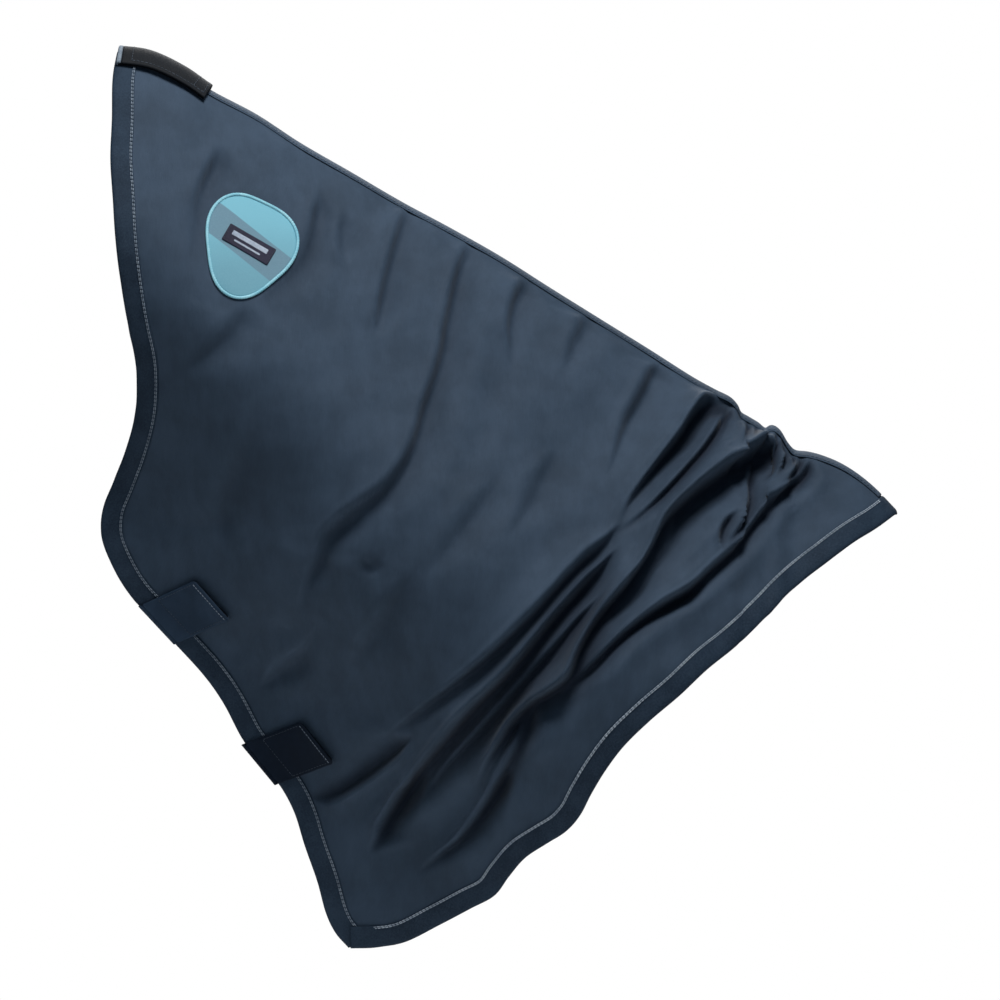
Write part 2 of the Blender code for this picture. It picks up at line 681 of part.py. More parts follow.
def strap_mesh(length):
    """Webbing with a sewn loop at its lower end.  Its hinge end is at the origin, hanging down."""
    curve = bpy.data.curves.new("strap_outline", "CURVE")
    curve.dimensions = "2D"
    curve.fill_mode = "BOTH"
    curve.extrude = STRAP_WIDTH / 2
    half = STRAP_THICKNESS / 2
    shoulder = sqrt(STRAP_LOOP_RADIUS**2 - half**2)
    turn = atan2(half, shoulder)
    outline = [(-half, -LAYER_GAP), (half, -LAYER_GAP)]
    for k in range(21):
        angle = pi / 2 - turn - k * (2 * pi - 2 * turn) / 20
        outline.append((STRAP_LOOP_RADIUS * cos(angle), -length + STRAP_LOOP_RADIUS * sin(angle)))
    bore = [(STRAP_LOOP_BORE * cos(a), -length + STRAP_LOOP_BORE * sin(a))
            for a in np.linspace(0, 2 * pi, 16, endpoint=False)]
    for points in (outline, bore):
        spline = curve.splines.new("POLY")
        spline.points.add(len(points) - 1)
        for point, (across, up) in zip(spline.points, points):
            point.co = (across, up, 0.0, 1.0)
        spline.use_cyclic_u = True
    return as_mesh(curve, Matrix(((0, 0, 1, 0), (1, 0, 0, 0), (0, 1, 0, 0), (0, 0, 0, 1))))


def as_mesh(curve, turn):
    """A filled curve made a closed mesh, turned by a matrix."""
    carrier = bpy.data.objects.new("carrier", curve)
    bpy.context.scene.collection.objects.link(carrier)
    bpy.context.view_layer.update()
    evaluated = carrier.evaluated_get(bpy.context.evaluated_depsgraph_get())
    mesh = bpy.data.meshes.new_from_object(evaluated)
    bpy.data.objects.remove(carrier)
    bm = bmesh.new()
    bm.from_mesh(mesh)
    bmesh.ops.remove_doubles(bm, verts=bm.verts, dist=0.01 * MM)
    bmesh.ops.transform(bm, matrix=turn, verts=bm.verts)
    bmesh.ops.recalc_face_normals(bm, faces=bm.faces)
    bm.to_mesh(mesh)
    bm.free()
    return mesh


UPRIGHT = Matrix(((1, 0, 0, 0), (0, 0, -1, 0), (0, 1, 0, 0), (0, 0, 0, 1)))
EYE_WIDTH = EYE_SLOT_WIDTH + 2 * HOOK_BAR
EYE_BOTTOM = -(HOOK_BAR / 2 + EYE_SLOT_HEIGHT + HOOK_BAR)
HOOK_CENTRE = EYE_BOTTOM - HOOK_OUTER_RADIUS + 2 * MM
LIP_ANGLE, NECK_ANGLE = radians(-18), radians(62)
GATE_PIVOT = (HOOK_INNER_RADIUS * cos(NECK_ANGLE) + 3.6 * MM, EYE_BOTTOM - 2.6 * MM)


def hook_mesh():
    """A flat cast hook: a slotted eye above, an open ring below.  Its eye bar is at the origin."""
    curve = bpy.data.curves.new("hook_outline", "CURVE")
    curve.dimensions = "2D"
    curve.fill_mode = "BOTH"
    curve.extrude = HOOK_THICKNESS / 2
    side, top = EYE_WIDTH / 2, HOOK_BAR / 2
    neck = GATE_PIVOT[0] + 2.2 * MM
    outline = [(side, EYE_BOTTOM), (side, top), (-side, top), (-side, EYE_BOTTOM)]
    for angle in np.linspace(pi - radians(25), 2 * pi + LIP_ANGLE, 22):
        outline.append((HOOK_OUTER_RADIUS * cos(angle), HOOK_CENTRE + HOOK_OUTER_RADIUS * sin(angle)))
    for angle in np.linspace(2 * pi + LIP_ANGLE, NECK_ANGLE + radians(28), 20):
        outline.append((HOOK_INNER_RADIUS * cos(angle), HOOK_CENTRE + HOOK_INNER_RADIUS * sin(angle)))
    outline += [(GATE_PIVOT[0] - 2.2 * MM, GATE_PIVOT[1] - 2.2 * MM), (neck, GATE_PIVOT[1] - 2.2 * MM),
                (neck, EYE_BOTTOM)]
    slot_side, slot_top = EYE_SLOT_WIDTH / 2, -HOOK_BAR / 2
    slot = [(slot_side, slot_top), (slot_side, slot_top - EYE_SLOT_HEIGHT),
            (-slot_side, slot_top - EYE_SLOT_HEIGHT), (-slot_side, slot_top)]
    bore = [(GATE_PIVOT[0] + (PIN_RADIUS + PIN_CLEARANCE) * cos(a),
             GATE_PIVOT[1] + (PIN_RADIUS + PIN_CLEARANCE) * sin(a))
            for a in np.linspace(0, 2 * pi, 12, endpoint=False)]
    for points in (outline, slot, bore):
        spline = curve.splines.new("POLY")
        spline.points.add(len(points) - 1)
        for point, (across, up) in zip(spline.points, points):
            point.co = (across, up, 0.0, 1.0)
        spline.use_cyclic_u = True
    return as_mesh(curve, UPRIGHT)


def gate_tip():
    """Where the gate closes on the hook's lip, from the gate's pivot."""
    middle = (HOOK_OUTER_RADIUS + HOOK_INNER_RADIUS) / 2
    lip = (middle * cos(LIP_ANGLE), HOOK_CENTRE + middle * sin(LIP_ANGLE))
    return lip[0] - GATE_PIVOT[0], lip[1] - GATE_PIVOT[1]


def gate_mesh():
    """A gate forked over the hook's ear at its pivot, which is the origin."""
    across, up = gate_tip()
    reach = hypot(across, up) - GATE_CLEARANCE - GATE_WIDTH / 3
    lean = atan2(across, -up)
    bm = bmesh.new()
    bmesh.ops.create_cube(bm, size=1.0)
    depth = HOOK_THICKNESS + 2 * GATE_CHEEK + 2 * GATE_CLEARANCE
    for vert in bm.verts:
        vert.co = Vector((vert.co.x * GATE_WIDTH, vert.co.y * depth,
                          (vert.co.z - 0.5) * (reach + GATE_WIDTH / 2) + GATE_WIDTH / 2))
    mesh = bpy.data.meshes.new("gate")
    bm.to_mesh(mesh)
    bm.free()
    return mesh, lean


def pin_mesh():
    bm = bmesh.new()
    depth = HOOK_THICKNESS + 2 * GATE_CHEEK + 2 * GATE_CLEARANCE
    bmesh.ops.create_cone(bm, cap_ends=True, segments=12, radius1=PIN_RADIUS, radius2=PIN_RADIUS,
                          depth=depth)
    bmesh.ops.rotate(bm, verts=bm.verts, matrix=Matrix.Rotation(pi / 2, 3, "X"))
    mesh = bpy.data.meshes.new("gate_pin")
    bm.to_mesh(mesh)
    bm.free()
    return mesh


def gate_cutters(gate):
    """Cuts the fork's slot and the pin's bore out of a gate."""
    slot_half = HOOK_THICKNESS / 2 + GATE_CLEARANCE
    ear = 2.2 * MM * sqrt(2) + GATE_CLEARANCE
    slot = new_cutter(f"{gate.name}_slot", (-GATE_WIDTH, -slot_half, -ear),
                      (GATE_WIDTH, slot_half, GATE_WIDTH))
    bm = bmesh.new()
    bmesh.ops.create_cone(bm, cap_ends=True, segments=12, radius1=PIN_RADIUS + PIN_CLEARANCE,
                          radius2=PIN_RADIUS + PIN_CLEARANCE, depth=4 * slot_half)
    bmesh.ops.rotate(bm, verts=bm.verts, matrix=Matrix.Rotation(pi / 2, 3, "X"))
    mesh = bpy.data.meshes.new("pin_bore")
    bm.to_mesh(mesh)
    bm.free()
    bore = bpy.data.objects.new(f"{gate.name}_bore", mesh)
    bpy.data.collections["Cutters"].objects.link(bore)
    bore.hide_render = True
    bore.display_type = "WIRE"
    for cutter in (slot, bore):
        cutter.parent = gate
        boolean(gate, cutter)


def make_clip(name, top, length, turn):
    """Strap, hook, gate and pin, hanging from a point.  turn points the strap's width in XY."""
    strap_pivot = empty_at(f"{name}_strap_pivot", top)
    strap_pivot.rotation_euler.z = turn
    strap = new_part(f"{name}_clip_strap", strap_mesh(length), "webbing")
    strap.parent = strap_pivot
    hook_pivot = empty_at(f"{name}_hook_pivot", (0, 0, -length))
    hook_pivot.parent = strap_pivot
    hook = new_part(f"{name}_clip_hook", hook_mesh(), "zinc")
    hook.parent = hook_pivot
    gate_pivot = empty_at(f"{name}_gate_pivot", (GATE_PIVOT[0], 0, GATE_PIVOT[1]))
    gate_pivot.parent = hook_pivot
    mesh, lean = gate_mesh()
    gate = new_part(f"{name}_clip_gate", mesh, "zinc")
    gate.parent = gate_pivot
    gate.rotation_euler.y = -lean
    gate_cutters(gate)
    pin = new_part(f"{name}_clip_gate_pin", pin_mesh(), "zinc")
    pin.parent = gate_pivot


def make_clips():
    """Three clips inside the cover: one on each side and one under the crest at the withers."""
    patch_lift = INNER_LEVEL - LAYER_GAP - PATCH_THICKNESS
    hang_lift = patch_lift - LAYER_GAP - STRAP_THICKNESS / 2
    x, z = POLL + np.array(SIDE_CLIP_PLACE)
    for side, word in SIDE_NAMES.items():
        pad(f"{word}_clip_patch", "webbing", np.array([x - PATCH_WIDTH / 2, z]),
            np.array([PATCH_WIDTH, 0.0]), np.array([0.0, PATCH_HEIGHT]), patch_lift,
            PATCH_THICKNESS, side)
        hang = on_side(x, z, hang_lift, side)
        level = (on_side(x + STRAP_WIDTH / 2, z, hang_lift, side)
                 - on_side(x - STRAP_WIDTH / 2, z, hang_lift, side))
        make_clip(word, hang, SIDE_STRAP_LENGTH, atan2(level.y, level.x))
    place = ELASTIC_END * line_length(CREST) + PATCH_TO_ELASTIC + PATCH_WIDTH / 2
    saddle("withers_clip_patch", "webbing", place - PATCH_WIDTH / 2, place + PATCH_WIDTH / 2,
           ELASTIC_HALF_WIDTH, patch_lift, PATCH_THICKNESS)
    corner = on_crest(place, STRAP_WIDTH / 2, patch_lift)
    make_clip("withers", (corner.x, 0.0, corner.z - LAYER_GAP - STRAP_THICKNESS / 2),
              WITHERS_STRAP_LENGTH, pi / 2)


def main():
    clear_scene()
    make_shells()
    make_bindings()
    make_crest()
    make_poll_strap()
    for place, share in TAB_PLACES.items():
        make_tab(place, share)
    make_badge()
    make_clips()


main()
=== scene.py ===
"""A turnout rug's neck cover: cloth, bindings, straps, badge and clips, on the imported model."""
import json
from math import cos, pi, radians, sin

import bpy
import numpy as np
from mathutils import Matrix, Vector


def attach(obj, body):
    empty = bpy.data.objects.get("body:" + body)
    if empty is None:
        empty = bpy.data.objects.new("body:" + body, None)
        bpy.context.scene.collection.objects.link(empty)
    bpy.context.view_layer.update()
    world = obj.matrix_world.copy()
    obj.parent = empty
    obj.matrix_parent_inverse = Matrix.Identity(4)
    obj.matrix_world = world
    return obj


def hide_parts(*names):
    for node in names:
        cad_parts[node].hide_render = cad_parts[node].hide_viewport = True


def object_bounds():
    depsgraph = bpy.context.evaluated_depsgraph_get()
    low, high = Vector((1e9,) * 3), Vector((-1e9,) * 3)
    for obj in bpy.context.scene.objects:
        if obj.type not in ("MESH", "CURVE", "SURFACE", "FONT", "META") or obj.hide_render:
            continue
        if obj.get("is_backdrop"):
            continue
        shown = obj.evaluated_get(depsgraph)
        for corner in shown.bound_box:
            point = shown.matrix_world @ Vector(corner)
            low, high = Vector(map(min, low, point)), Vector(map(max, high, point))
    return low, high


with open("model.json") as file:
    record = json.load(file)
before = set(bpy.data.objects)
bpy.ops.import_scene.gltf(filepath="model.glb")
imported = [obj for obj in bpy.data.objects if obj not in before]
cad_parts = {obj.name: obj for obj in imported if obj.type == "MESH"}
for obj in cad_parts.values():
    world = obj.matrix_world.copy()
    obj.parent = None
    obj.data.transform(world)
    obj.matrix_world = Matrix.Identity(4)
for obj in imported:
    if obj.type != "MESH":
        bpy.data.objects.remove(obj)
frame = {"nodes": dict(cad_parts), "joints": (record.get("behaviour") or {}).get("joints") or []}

cad_box = [list(corner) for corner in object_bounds()]
MM = 0.001
NEAR, OFF = -1, 1
SIDES = {NEAR: "near", OFF: "off"}

# ---------------------------------------------------------------- sizes of the cover

FRONT_HALF_WIDTH = 85 * MM
REAR_HALF_WIDTH = 150 * MM
CLOSURE_HALF_GAP = 10 * MM
CREST_RADIUS = 22 * MM
COVER_LENGTH = 837 * MM
NECK_SLOPE = radians(38)
SECTION_PEAK = 0.55
TUCK_STARTS = 0.40

OUTER_THICKNESS = 1.2 * MM
LINING_THICKNESS = 0.8 * MM
LAYER_GAP = 0.4 * MM
INNER_LEVEL = -(OUTER_THICKNESS + LAYER_GAP + LINING_THICKNESS)
BINDING_GAP = 0.6 * MM
BINDING_WIDTH = 22 * MM
STITCH_INSET = 20.6 * MM
TWIN_ROWS = 1.5 * MM
CREST_TAPE_HALF_WIDTH = 15 * MM

TAB_WIDTH = 55 * MM
TAB_REACH = 66 * MM
TAB_SEWN_LENGTH = 62 * MM
TAB_THICKNESS = 2.0 * MM
TAB_ANGLE = radians(72)
TAB_FOLD_RADIUS = 2.3 * MM
TAB_PLACES = {"throat": 0.235, "chest": 0.585}
TOUCH_TAPE_THICKNESS = 1.0 * MM
TOUCH_TAPE_LENGTH = 40 * MM
TOUCH_TAPE_MARGIN = 2.5 * MM

POLL_STRAP_LENGTH = 104 * MM
POLL_STRAP_HALF_WIDTH = 26 * MM
POLL_STRAP_THICKNESS = 2.0 * MM
POLL_STRAP_START = 2 * MM
TURN_TAIL = 2.6 * MM

BADGE_PLACE = (138 * MM, -204.5 * MM)
BADGE_RADIUS = 51 * MM
BADGE_LOBE = 0.095
BADGE_TURN = radians(7)
LABEL_LENGTH, LABEL_WIDTH = 55 * MM, 19 * MM
LABEL_TURN = radians(-30)

ELASTIC_START, ELASTIC_END = 0.805, 0.885
ELASTIC_HALF_WIDTH = 14 * MM
ELASTIC_THICKNESS = 1.2 * MM
PATCH_WIDTH, PATCH_HEIGHT, PATCH_THICKNESS = 38 * MM, 32 * MM, 1.2 * MM
PATCH_TO_ELASTIC = 0.3 * MM
SIDE_CLIP_PLACE = (548 * MM, -530 * MM)
CLIP_DROP = 92 * MM
CLIP_BULGE = 12 * MM

# Outline of one side as sewn and gathered, x and z in millimetres
CREST_CUT = [
    (-322, 165), (-289, 160), (-255, 144), (-224, 123), (-177, 98), (-131, 68), (-79, 38),
    (-26, 7), (26, -21), (79, -51), (131, -84), (184, -117), (234, -148), (278, -176),
    (303, -190), (319, -198), (327, -206), (331, -214), (339, -219), (349, -225), (357, -231),
    (364, -228), (372, -233), (380, -246), (388, -254), (402, -256), (417, -260), (436, -268),
    (455, -280), (474, -296), (495, -318)]
FRONT_CUT = [
    (-322, 165), (-326, 135), (-326, 93), (-327, 51), (-324, 9), (-321, -38), (-315, -87),
    (-308, -127), (-301, -161), (-300, -195), (-303, -222), (-312, -253), (-326, -287),
    (-336, -311), (-339, -332)]
UNDER_CUT = [
    (-339, -332), (-336, -353), (-322, -384), (-306, -408), (-289, -426), (-262, -455),
    (-231, -489), (-210, -519), (-191, -555), (-171, -582), (-151, -605), (-136, -633),
    (-125, -668), (-112, -705), (-103, -738), (-93, -759), (-79, -775)]
REAR_CUT = [
    (495, -318), (474, -333), (448, -349), (421, -369), (388, -394), (357, -425), (326, -455),
    (293, -482), (264, -509), (234, -534), (207, -560), (188, -585), (173, -610), (161, -633),
    (146, -650), (126, -663), (104, -678), (87, -698), (72, -718), (47, -732), (16, -749),
    (-21, -768), (-51, -774), (-79, -775)]

# Folds of the gathered cloth.  Each is its depth, the breadth of its steep and of its gentle
# wall, the shares of its length over which it starts and dies away, and its line in x and z,
# all lengths in millimetres.  The steep wall is on the crest side.
FOLDS = [
    (5.2, 7, 16, 0.3, 0.5, [(-213, 69), (-219, 43), (-231, 12), (-239, -30), (-252, -78)]),
    (5.0, 6, 15, 0.3, 0.4, [(-108, 22), (-111, -1), (-116, -26), (-128, -57), (-154, -84),
     (-175, -103)]),
    (2.6, 6, 11, 0.3, 0.4, [(-84, 1), (-84, -36), (-80, -61)]),
    (4.8, 6, 15, 0.35, 0.4, [(-12, 14), (-17, -2), (-28, -40), (-39, -83), (-47, -120),
     (-52, -135)]),
    (5.6, 6, 17, 0.2, 0.3, [(51, -20), (47, -38), (37, -72), (27, -120), (19, -163), (4, -207),
     (-10, -254), (-35, -291), (-65, -314), (-97, -341), (-110, -369), (-123, -399),
     (-129, -428)]),
    (4.4, 6, 14, 0.2, 0.5, [(114, -70), (100, -92), (93, -117), (92, -141), (90, -186)]),
    (3.6, 7, 13, 0.2, 0.5, [(175, -108), (167, -130), (156, -150), (142, -184)]),
    (4.6, 7, 17, 0.2, 0.5, [(249, -159), (242, -175), (228, -203), (214, -227), (201, -258),
     (188, -291)]),
    (11.5, 6, 19, 0.06, 0.5, [(327, -205), (312, -202), (294, -206), (280, -222), (270, -238),
     (239, -276), (214, -311), (201, -341)]),
    (5, 5, 9, 0.1, 0.4, [(326, -210), (317, -217), (304, -238), (287, -261), (254, -298),
     (225, -326), (196, -345)]),
    (15, 7, 22, 0.08, 0.35, [(369, -247), (354, -253), (334, -264), (303, -286), (280, -304),
     (254, -330), (237, -362), (211, -401), (184, -435)]),
    (6, 6, 8, 0.15, 0.4, [(352, -253), (349, -269), (344, -286), (340, -315), (326, -341),
     (310, -366)]),
    (6, 4, 9, 0.1, 0.3, [(408, -261), (400, -275), (390, -286), (365, -307), (346, -330),
     (326, -356), (299, -381), (270, -407), (227, -433), (184, -474)]),
    (5.5, 5, 10, 0.25, 0.4, [(295, -387), (278, -402), (253, -417), (210, -447), (177, -478),
     (154, -499), (138, -516)]),
    (4, 5, 8, 0.3, 0.4, [(326, -318), (317, -329), (310, -341), (309, -353), (312, -362)]),
    (8, 8, 17, 0.25, 0.6, [(207, -331), (184, -356), (152, -387), (116, -426), (72, -468),
     (27, -503), (-20, -538), (-47, -561)]),
    (12.5, 8, 20, 0.15, 0.5, [(203, -356), (173, -392), (134, -435), (90, -488), (49, -529),
     (6, -579), (-22, -614), (-39, -639), (-49, -660)]),
    (7, 6, 12, 0.3, 0.3, [(-1, -587), (-16, -606), (-32, -630), (-44, -652), (-54, -676)]),
    (7.5, 7, 15, 0.25, 0.4, [(192, -398), (168, -425), (142, -456), (103, -499), (64, -542),
     (23, -585), (0, -618)]),
    (12, 7, 18, 0.2, 0.3, [(242, -353), (226, -377), (210, -400), (184, -430), (165, -462),
     (154, -490), (134, -507), (113, -520), (94, -539), (81, -559), (68, -581), (54, -618)]),
    (5, 6, 11, 0.3, 0.4, [(110, -521), (107, -531), (99, -563), (85, -589), (68, -618),
     (56, -636)]),
    (6.5, 6, 11, 0.3, 0.6, [(89, -587), (81, -600), (65, -626), (41, -657), (15, -679),
     (-7, -698)]),
    (2.2, 9, 13, 0.4, 0.4, [(-103, -358), (-112, -377), (-122, -396)]),
    (2, 9, 12, 0.4, 0.4, [(-57, -363), (-58, -375), (-59, -387)]),
    (3.6, 7, 14, 0.5, 0.4, [(-108, -432), (-128, -466), (-150, -484), (-177, -506)]),
    (6.5, 6, 15, 0.3, 0.3, [(-130, -617), (-100, -616), (-66, -596), (-30, -568), (-12, -550)]),
    (3, 9, 20, 0.3, 0.5, [(-184, -96), (-194, -127), (-220, -150), (-257, -171)]),
    (3, 12, 22, 0.4, 0.5, [(-171, -222), (-194, -274), (-207, -327), (-203, -369)]),
    (3.2, 10, 20, 0.4, 0.5, [(-5, -369), (-26, -411), (-56, -453), (-79, -482)]),
    (3, 10, 18, 0.4, 0.5, [(79, -274), (58, -316), (26, -356), (-1, -387)]),
    (2.8, 10, 18, 0.4, 0.5, [(142, -243), (127, -282), (108, -316), (79, -353)]),
    (3.5, 4, 5, 0.2, 0.5, [(358, -233), (356, -243), (350, -255)]),
    (5, 3, 5, 0.1, 0.5, [(369, -234), (370, -251), (364, -270), (356, -287)]),
    (5, 3, 5, 0.1, 0.5, [(376, -240), (379, -255), (376, -270), (369, -282)]),
    (4, 3, 5, 0.1, 0.5, [(383, -252), (387, -264), (383, -276)]),
    (5, 3, 6, 0.1, 0.5, [(393, -256), (394, -268), (386, -280), (373, -295)]),
    (3, 3, 5, 0.1, 0.5, [(339, -222), (338, -234), (332, -249)]),
    (2.6, 3, 5, 0.1, 0.5, [(349, -226), (346, -236), (341, -247)]),
]
OFF_SIDE_DEPTH = 0.8
DEEPEST_FOLD = 22 * MM
FOLD_STRENGTH = 1.8
# A fold is sharp when its depth is great for its gentle wall: from no part to the whole of it
SHARP_FROM, SHARP_TO = 0.22, 0.55
STEEPEST = 0.62
STEEPEST_WALL = 2.8 * MM
# The raised lines beside a valley: height as a share of its depth, then place and breadth in
# breadths of the wall on their side.  Minus is the steep side.
RIDGES = [(0.40, -1.9, 1.1), (0.26, -3.6, 2.4), (0.20, 2.1, 1.0)]

# Low random waves of the cloth: seed, how many, shortest, longest, height, and spread of lean
WAVES = [(11, 16, 0.06, 0.22, 2.6 * MM, 0.45), (31, 22, 0.02, 0.06, 0.5 * MM, 0.6)]
WAVE_LEAN = radians(-35)


# ---------------------------------------------------------------- lines and the neck's surface

def rounded(points, samples=12):
    """A smooth line through the points (Catmull-Rom)."""
    points = np.array(points, float)
    padded = np.vstack([2 * points[0] - points[1], points, 2 * points[-1] - points[-2]])
    t = np.linspace(0, 1, samples, endpoint=False)[:, None]
    spans = [0.5 * (2 * b + (c - a) * t + (2 * a - 5 * b + 4 * c - d) * t**2
                    + (3 * b - a - 3 * c + d) * t**3)
             for a, b, c, d in zip(padded, padded[1:], padded[2:], padded[3:])]
    return np.vstack(spans + [points[-1:]])


def lengths_along(line):
    return np.concatenate([[0], np.cumsum(np.linalg.norm(np.diff(line, axis=0), axis=1))])


def at_lengths(line, where):
    """The points of a line at these distances along it."""
    run = lengths_along(line)
    return np.stack([np.interp(where, run, line[:, k]) for k in range(line.shape[1])], axis=-1)


def directions_at(line, where, reach=6 * MM):
    """The line's unit directions at these distances, averaged over reach either way."""
    end = lengths_along(line)[-1]
    ahead = at_lengths(line, np.minimum(where + reach, end))
    back = at_lengths(line, np.maximum(where - reach, 0))
    return (ahead - back) / np.linalg.norm(ahead - back, axis=-1, keepdims=True)


def smooth(low, high, value):
    t = np.clip((value - low) / (high - low), 0, 1)
    return t * t * (3 - 2 * t)


def unit(vectors):
    return vectors / np.maximum(np.linalg.norm(vectors, axis=-1, keepdims=True), 1e-12)


CREST, FRONT, UNDER, REAR = (rounded(np.array(cut) * MM)
                             for cut in (CREST_CUT, FRONT_CUT, UNDER_CUT, REAR_CUT))
POLL, THROAT, CHEST, WITHERS = CREST[0], UNDER[0], UNDER[-1], CREST[-1]
CREST_DROP = unit(WITHERS - POLL)
UNDER_LEAN = unit(THROAT - CHEST)
CREST_LENGTH, UNDER_LENGTH = lengths_along(CREST)[-1], lengths_along(UNDER)[-1]
BADGE_CENTRE = POLL + np.array(BADGE_PLACE)


def crest_depth(x, z):
    return (np.interp(x, CREST[:, 0], CREST[:, 1]) - z) * CREST_DROP[0]


def under_depth(x, z):
    on_edge = np.interp(z, UNDER[::-1, 1], UNDER[::-1, 0])
    carried_on = THROAT[0] + (z - THROAT[1]) * UNDER_LEAN[0] / UNDER_LEAN[1]
    edge = np.where(z < THROAT[1], on_edge, carried_on)
    return np.maximum(0, (x - edge) * UNDER_LEAN[1])


def half_width_squared(x, z):
    """The square of the neck's half-width under the cover."""
    below, above = crest_depth(x, z), under_depth(x, z)
    depth = np.maximum(below + above, MM)
    run = (x - POLL[0]) * cos(NECK_SLOPE) - (z - POLL[1]) * sin(NECK_SLOPE)
    widest = FRONT_HALF_WIDTH + (REAR_HALF_WIDTH - FRONT_HALF_WIDTH) * smooth(
        0.1 * COVER_LENGTH, 1.1 * COVER_LENGTH, run)
    square = 2 * CREST_RADIUS * below + (widest * below / (SECTION_PEAK * depth))**2
    tuck = smooth(TUCK_STARTS, 1.0, below / depth)
    tucked = (np.sqrt(np.maximum(square, 0)) * (1 - tuck) + CLOSURE_HALF_GAP * tuck)**2
    return np.where(tuck == 0, square, tucked)


def half_width(x, z):
    return np.sqrt(np.maximum(0, half_width_squared(x, z)))


def outward(x, y, z):
    """The outward directions of the neck's surface, from its slope over a small step."""
    step = 0.8 * MM
    slope_x = half_width_squared(x + step, z) - half_width_squared(x - step, z)
    slope_z = half_width_squared(x, z + step) - half_width_squared(x, z - step)
    return unit(np.stack([-slope_x / (4 * step), y, -slope_z / (4 * step)], axis=-1))


# ---------------------------------------------------------------- how the cloth lies on the neck

def nearest_on(line, x, z):
    """For points near a line: their distance, signed with plus on its left, and how far along it
    they are as a share."""
    a, b = line[:-1], line[1:]
    along = b - a
    gap_x, gap_z = x[:, None] - a[None, :, 0], z[:, None] - a[None, :, 1]
    squared = (along**2).sum(1)
    t = np.clip((gap_x * along[:, 0] + gap_z * along[:, 1]) / squared, 0, 1)
    off_x, off_z = gap_x - t * along[:, 0], gap_z - t * along[:, 1]
    distance = np.hypot(off_x, off_z)
    best = distance.argmin(1)
    rows = np.arange(len(x))
    turn = along[best, 0] * off_z[rows, best] - along[best, 1] * off_x[rows, best]
    return distance[rows, best] * np.where(turn >= 0, 1, -1), (best + t[rows, best]) / len(a)


def folds_at(x, z, side):
    """How the folds move the cloth along its outward direction, and how much painted shade each
    place gets in the shelter of a steep wall, from 0 to 1."""
    push, painted_shade = np.zeros(len(x)), np.zeros(len(x))
    for number, (depth, steep, gentle, head, tail, points) in enumerate(FOLDS):
        line = rounded(np.array(points) * MM, 5)
        if side == OFF:
            sway = np.array([9 * sin(2.1 * number + 1), 6 * cos(1.7 * number)]) * MM
            fade = min(1.0, line[:, 1].ptp() / 0.1)
            line = line + np.linspace(0.1, 1, len(line))[:, None] * sway * fade
            depth = depth * OFF_SIDE_DEPTH * (1 + 0.25 * sin(3.3 * number))
        sharp = smooth(SHARP_FROM, SHARP_TO, depth / gentle)
        depth, gentle = FOLD_STRENGTH * depth * MM, gentle * MM
        steep = (1 - (1 - STEEPEST) * sharp) * steep * MM
        reach = 3.4 * max(2 * steep, gentle)
        low, high = line.min(0) - reach, line.max(0) + reach
        near = np.flatnonzero((x > low[0]) & (x < high[0]) & (z > low[1]) & (z < high[1]))
        if not len(near):
            continue
        away, share = nearest_on(line, x[near], z[near])
        taper = smooth(0, head, share) * smooth(0, tail, 1 - share)
        steep, gentle = (wall * (0.3 + 0.7 * taper) for wall in (steep, gentle))
        steep = np.maximum(steep, STEEPEST_WALL)
        valley = np.exp(-np.abs(away / np.where(away < 0, steep, gentle))**1.8)
        ridges = sum(height * np.exp(-((away - place * wall) / (breadth * wall))**2)
                     for height, place, breadth in RIDGES
                     for wall in [steep if place < 0 else gentle])
        push[near] += depth * taper * (ridges - valley)
        # Painted shade: darkest at the foot of the steep wall, fading across the gentle wall
        painted_wall_shade = smooth(-1.4 * steep, -0.3 * steep, away) * np.exp(
            -(np.maximum(away, 0) / (0.85 * gentle))**1.4)
        painted_wall_shade *= taper**0.6 * (0.15 + 0.85 * sharp)
        painted_shade[near] = 1 - (1 - painted_shade[near]) * (1 - painted_wall_shade)
    push = np.where(push < 0, -DEEPEST_FOLD * np.tanh(-push / DEEPEST_FOLD), push)
    return push, painted_shade * smooth(2 * MM, 10 * MM, crest_depth(x, z))


def soft_waves(x, z, seed, count, shortest, longest, height, spread):
    """Low random waves, mostly across one direction."""
    draw = np.random.RandomState(seed)
    total = np.zeros_like(x)
    for _ in range(count):
        wave = np.exp(draw.uniform(np.log(shortest), np.log(longest)))
        turn = WAVE_LEAN + draw.normal() * spread
        phase = draw.uniform(0, 2 * pi)
        total += wave * np.sin(2 * pi * (x * cos(turn) + z * sin(turn)) / wave + phase)
    return total * height / (longest * np.sqrt(count))


def tab_frame(share):
    """Where a tab's fold sits on the lower edge, the edge's direction, and the tab's direction."""
    where = np.array([share * UNDER_LENGTH])
    fold, tangent = at_lengths(UNDER, where)[0], directions_at(UNDER, where)[0]
    way = np.array([cos(TAB_ANGLE) * tangent[0] - sin(TAB_ANGLE) * tangent[1],
                    sin(TAB_ANGLE) * tangent[0] + cos(TAB_ANGLE) * tangent[1]])
    return fold, tangent, way


def from_clip(x, z):
    """How far places are from the clip that hangs inside a side."""
    top = POLL + np.array(SIDE_CLIP_PLACE)
    low = np.clip(z, top[1] - CLIP_DROP, top[1] + PATCH_HEIGHT)
    return np.hypot(x - top[0], z - low)


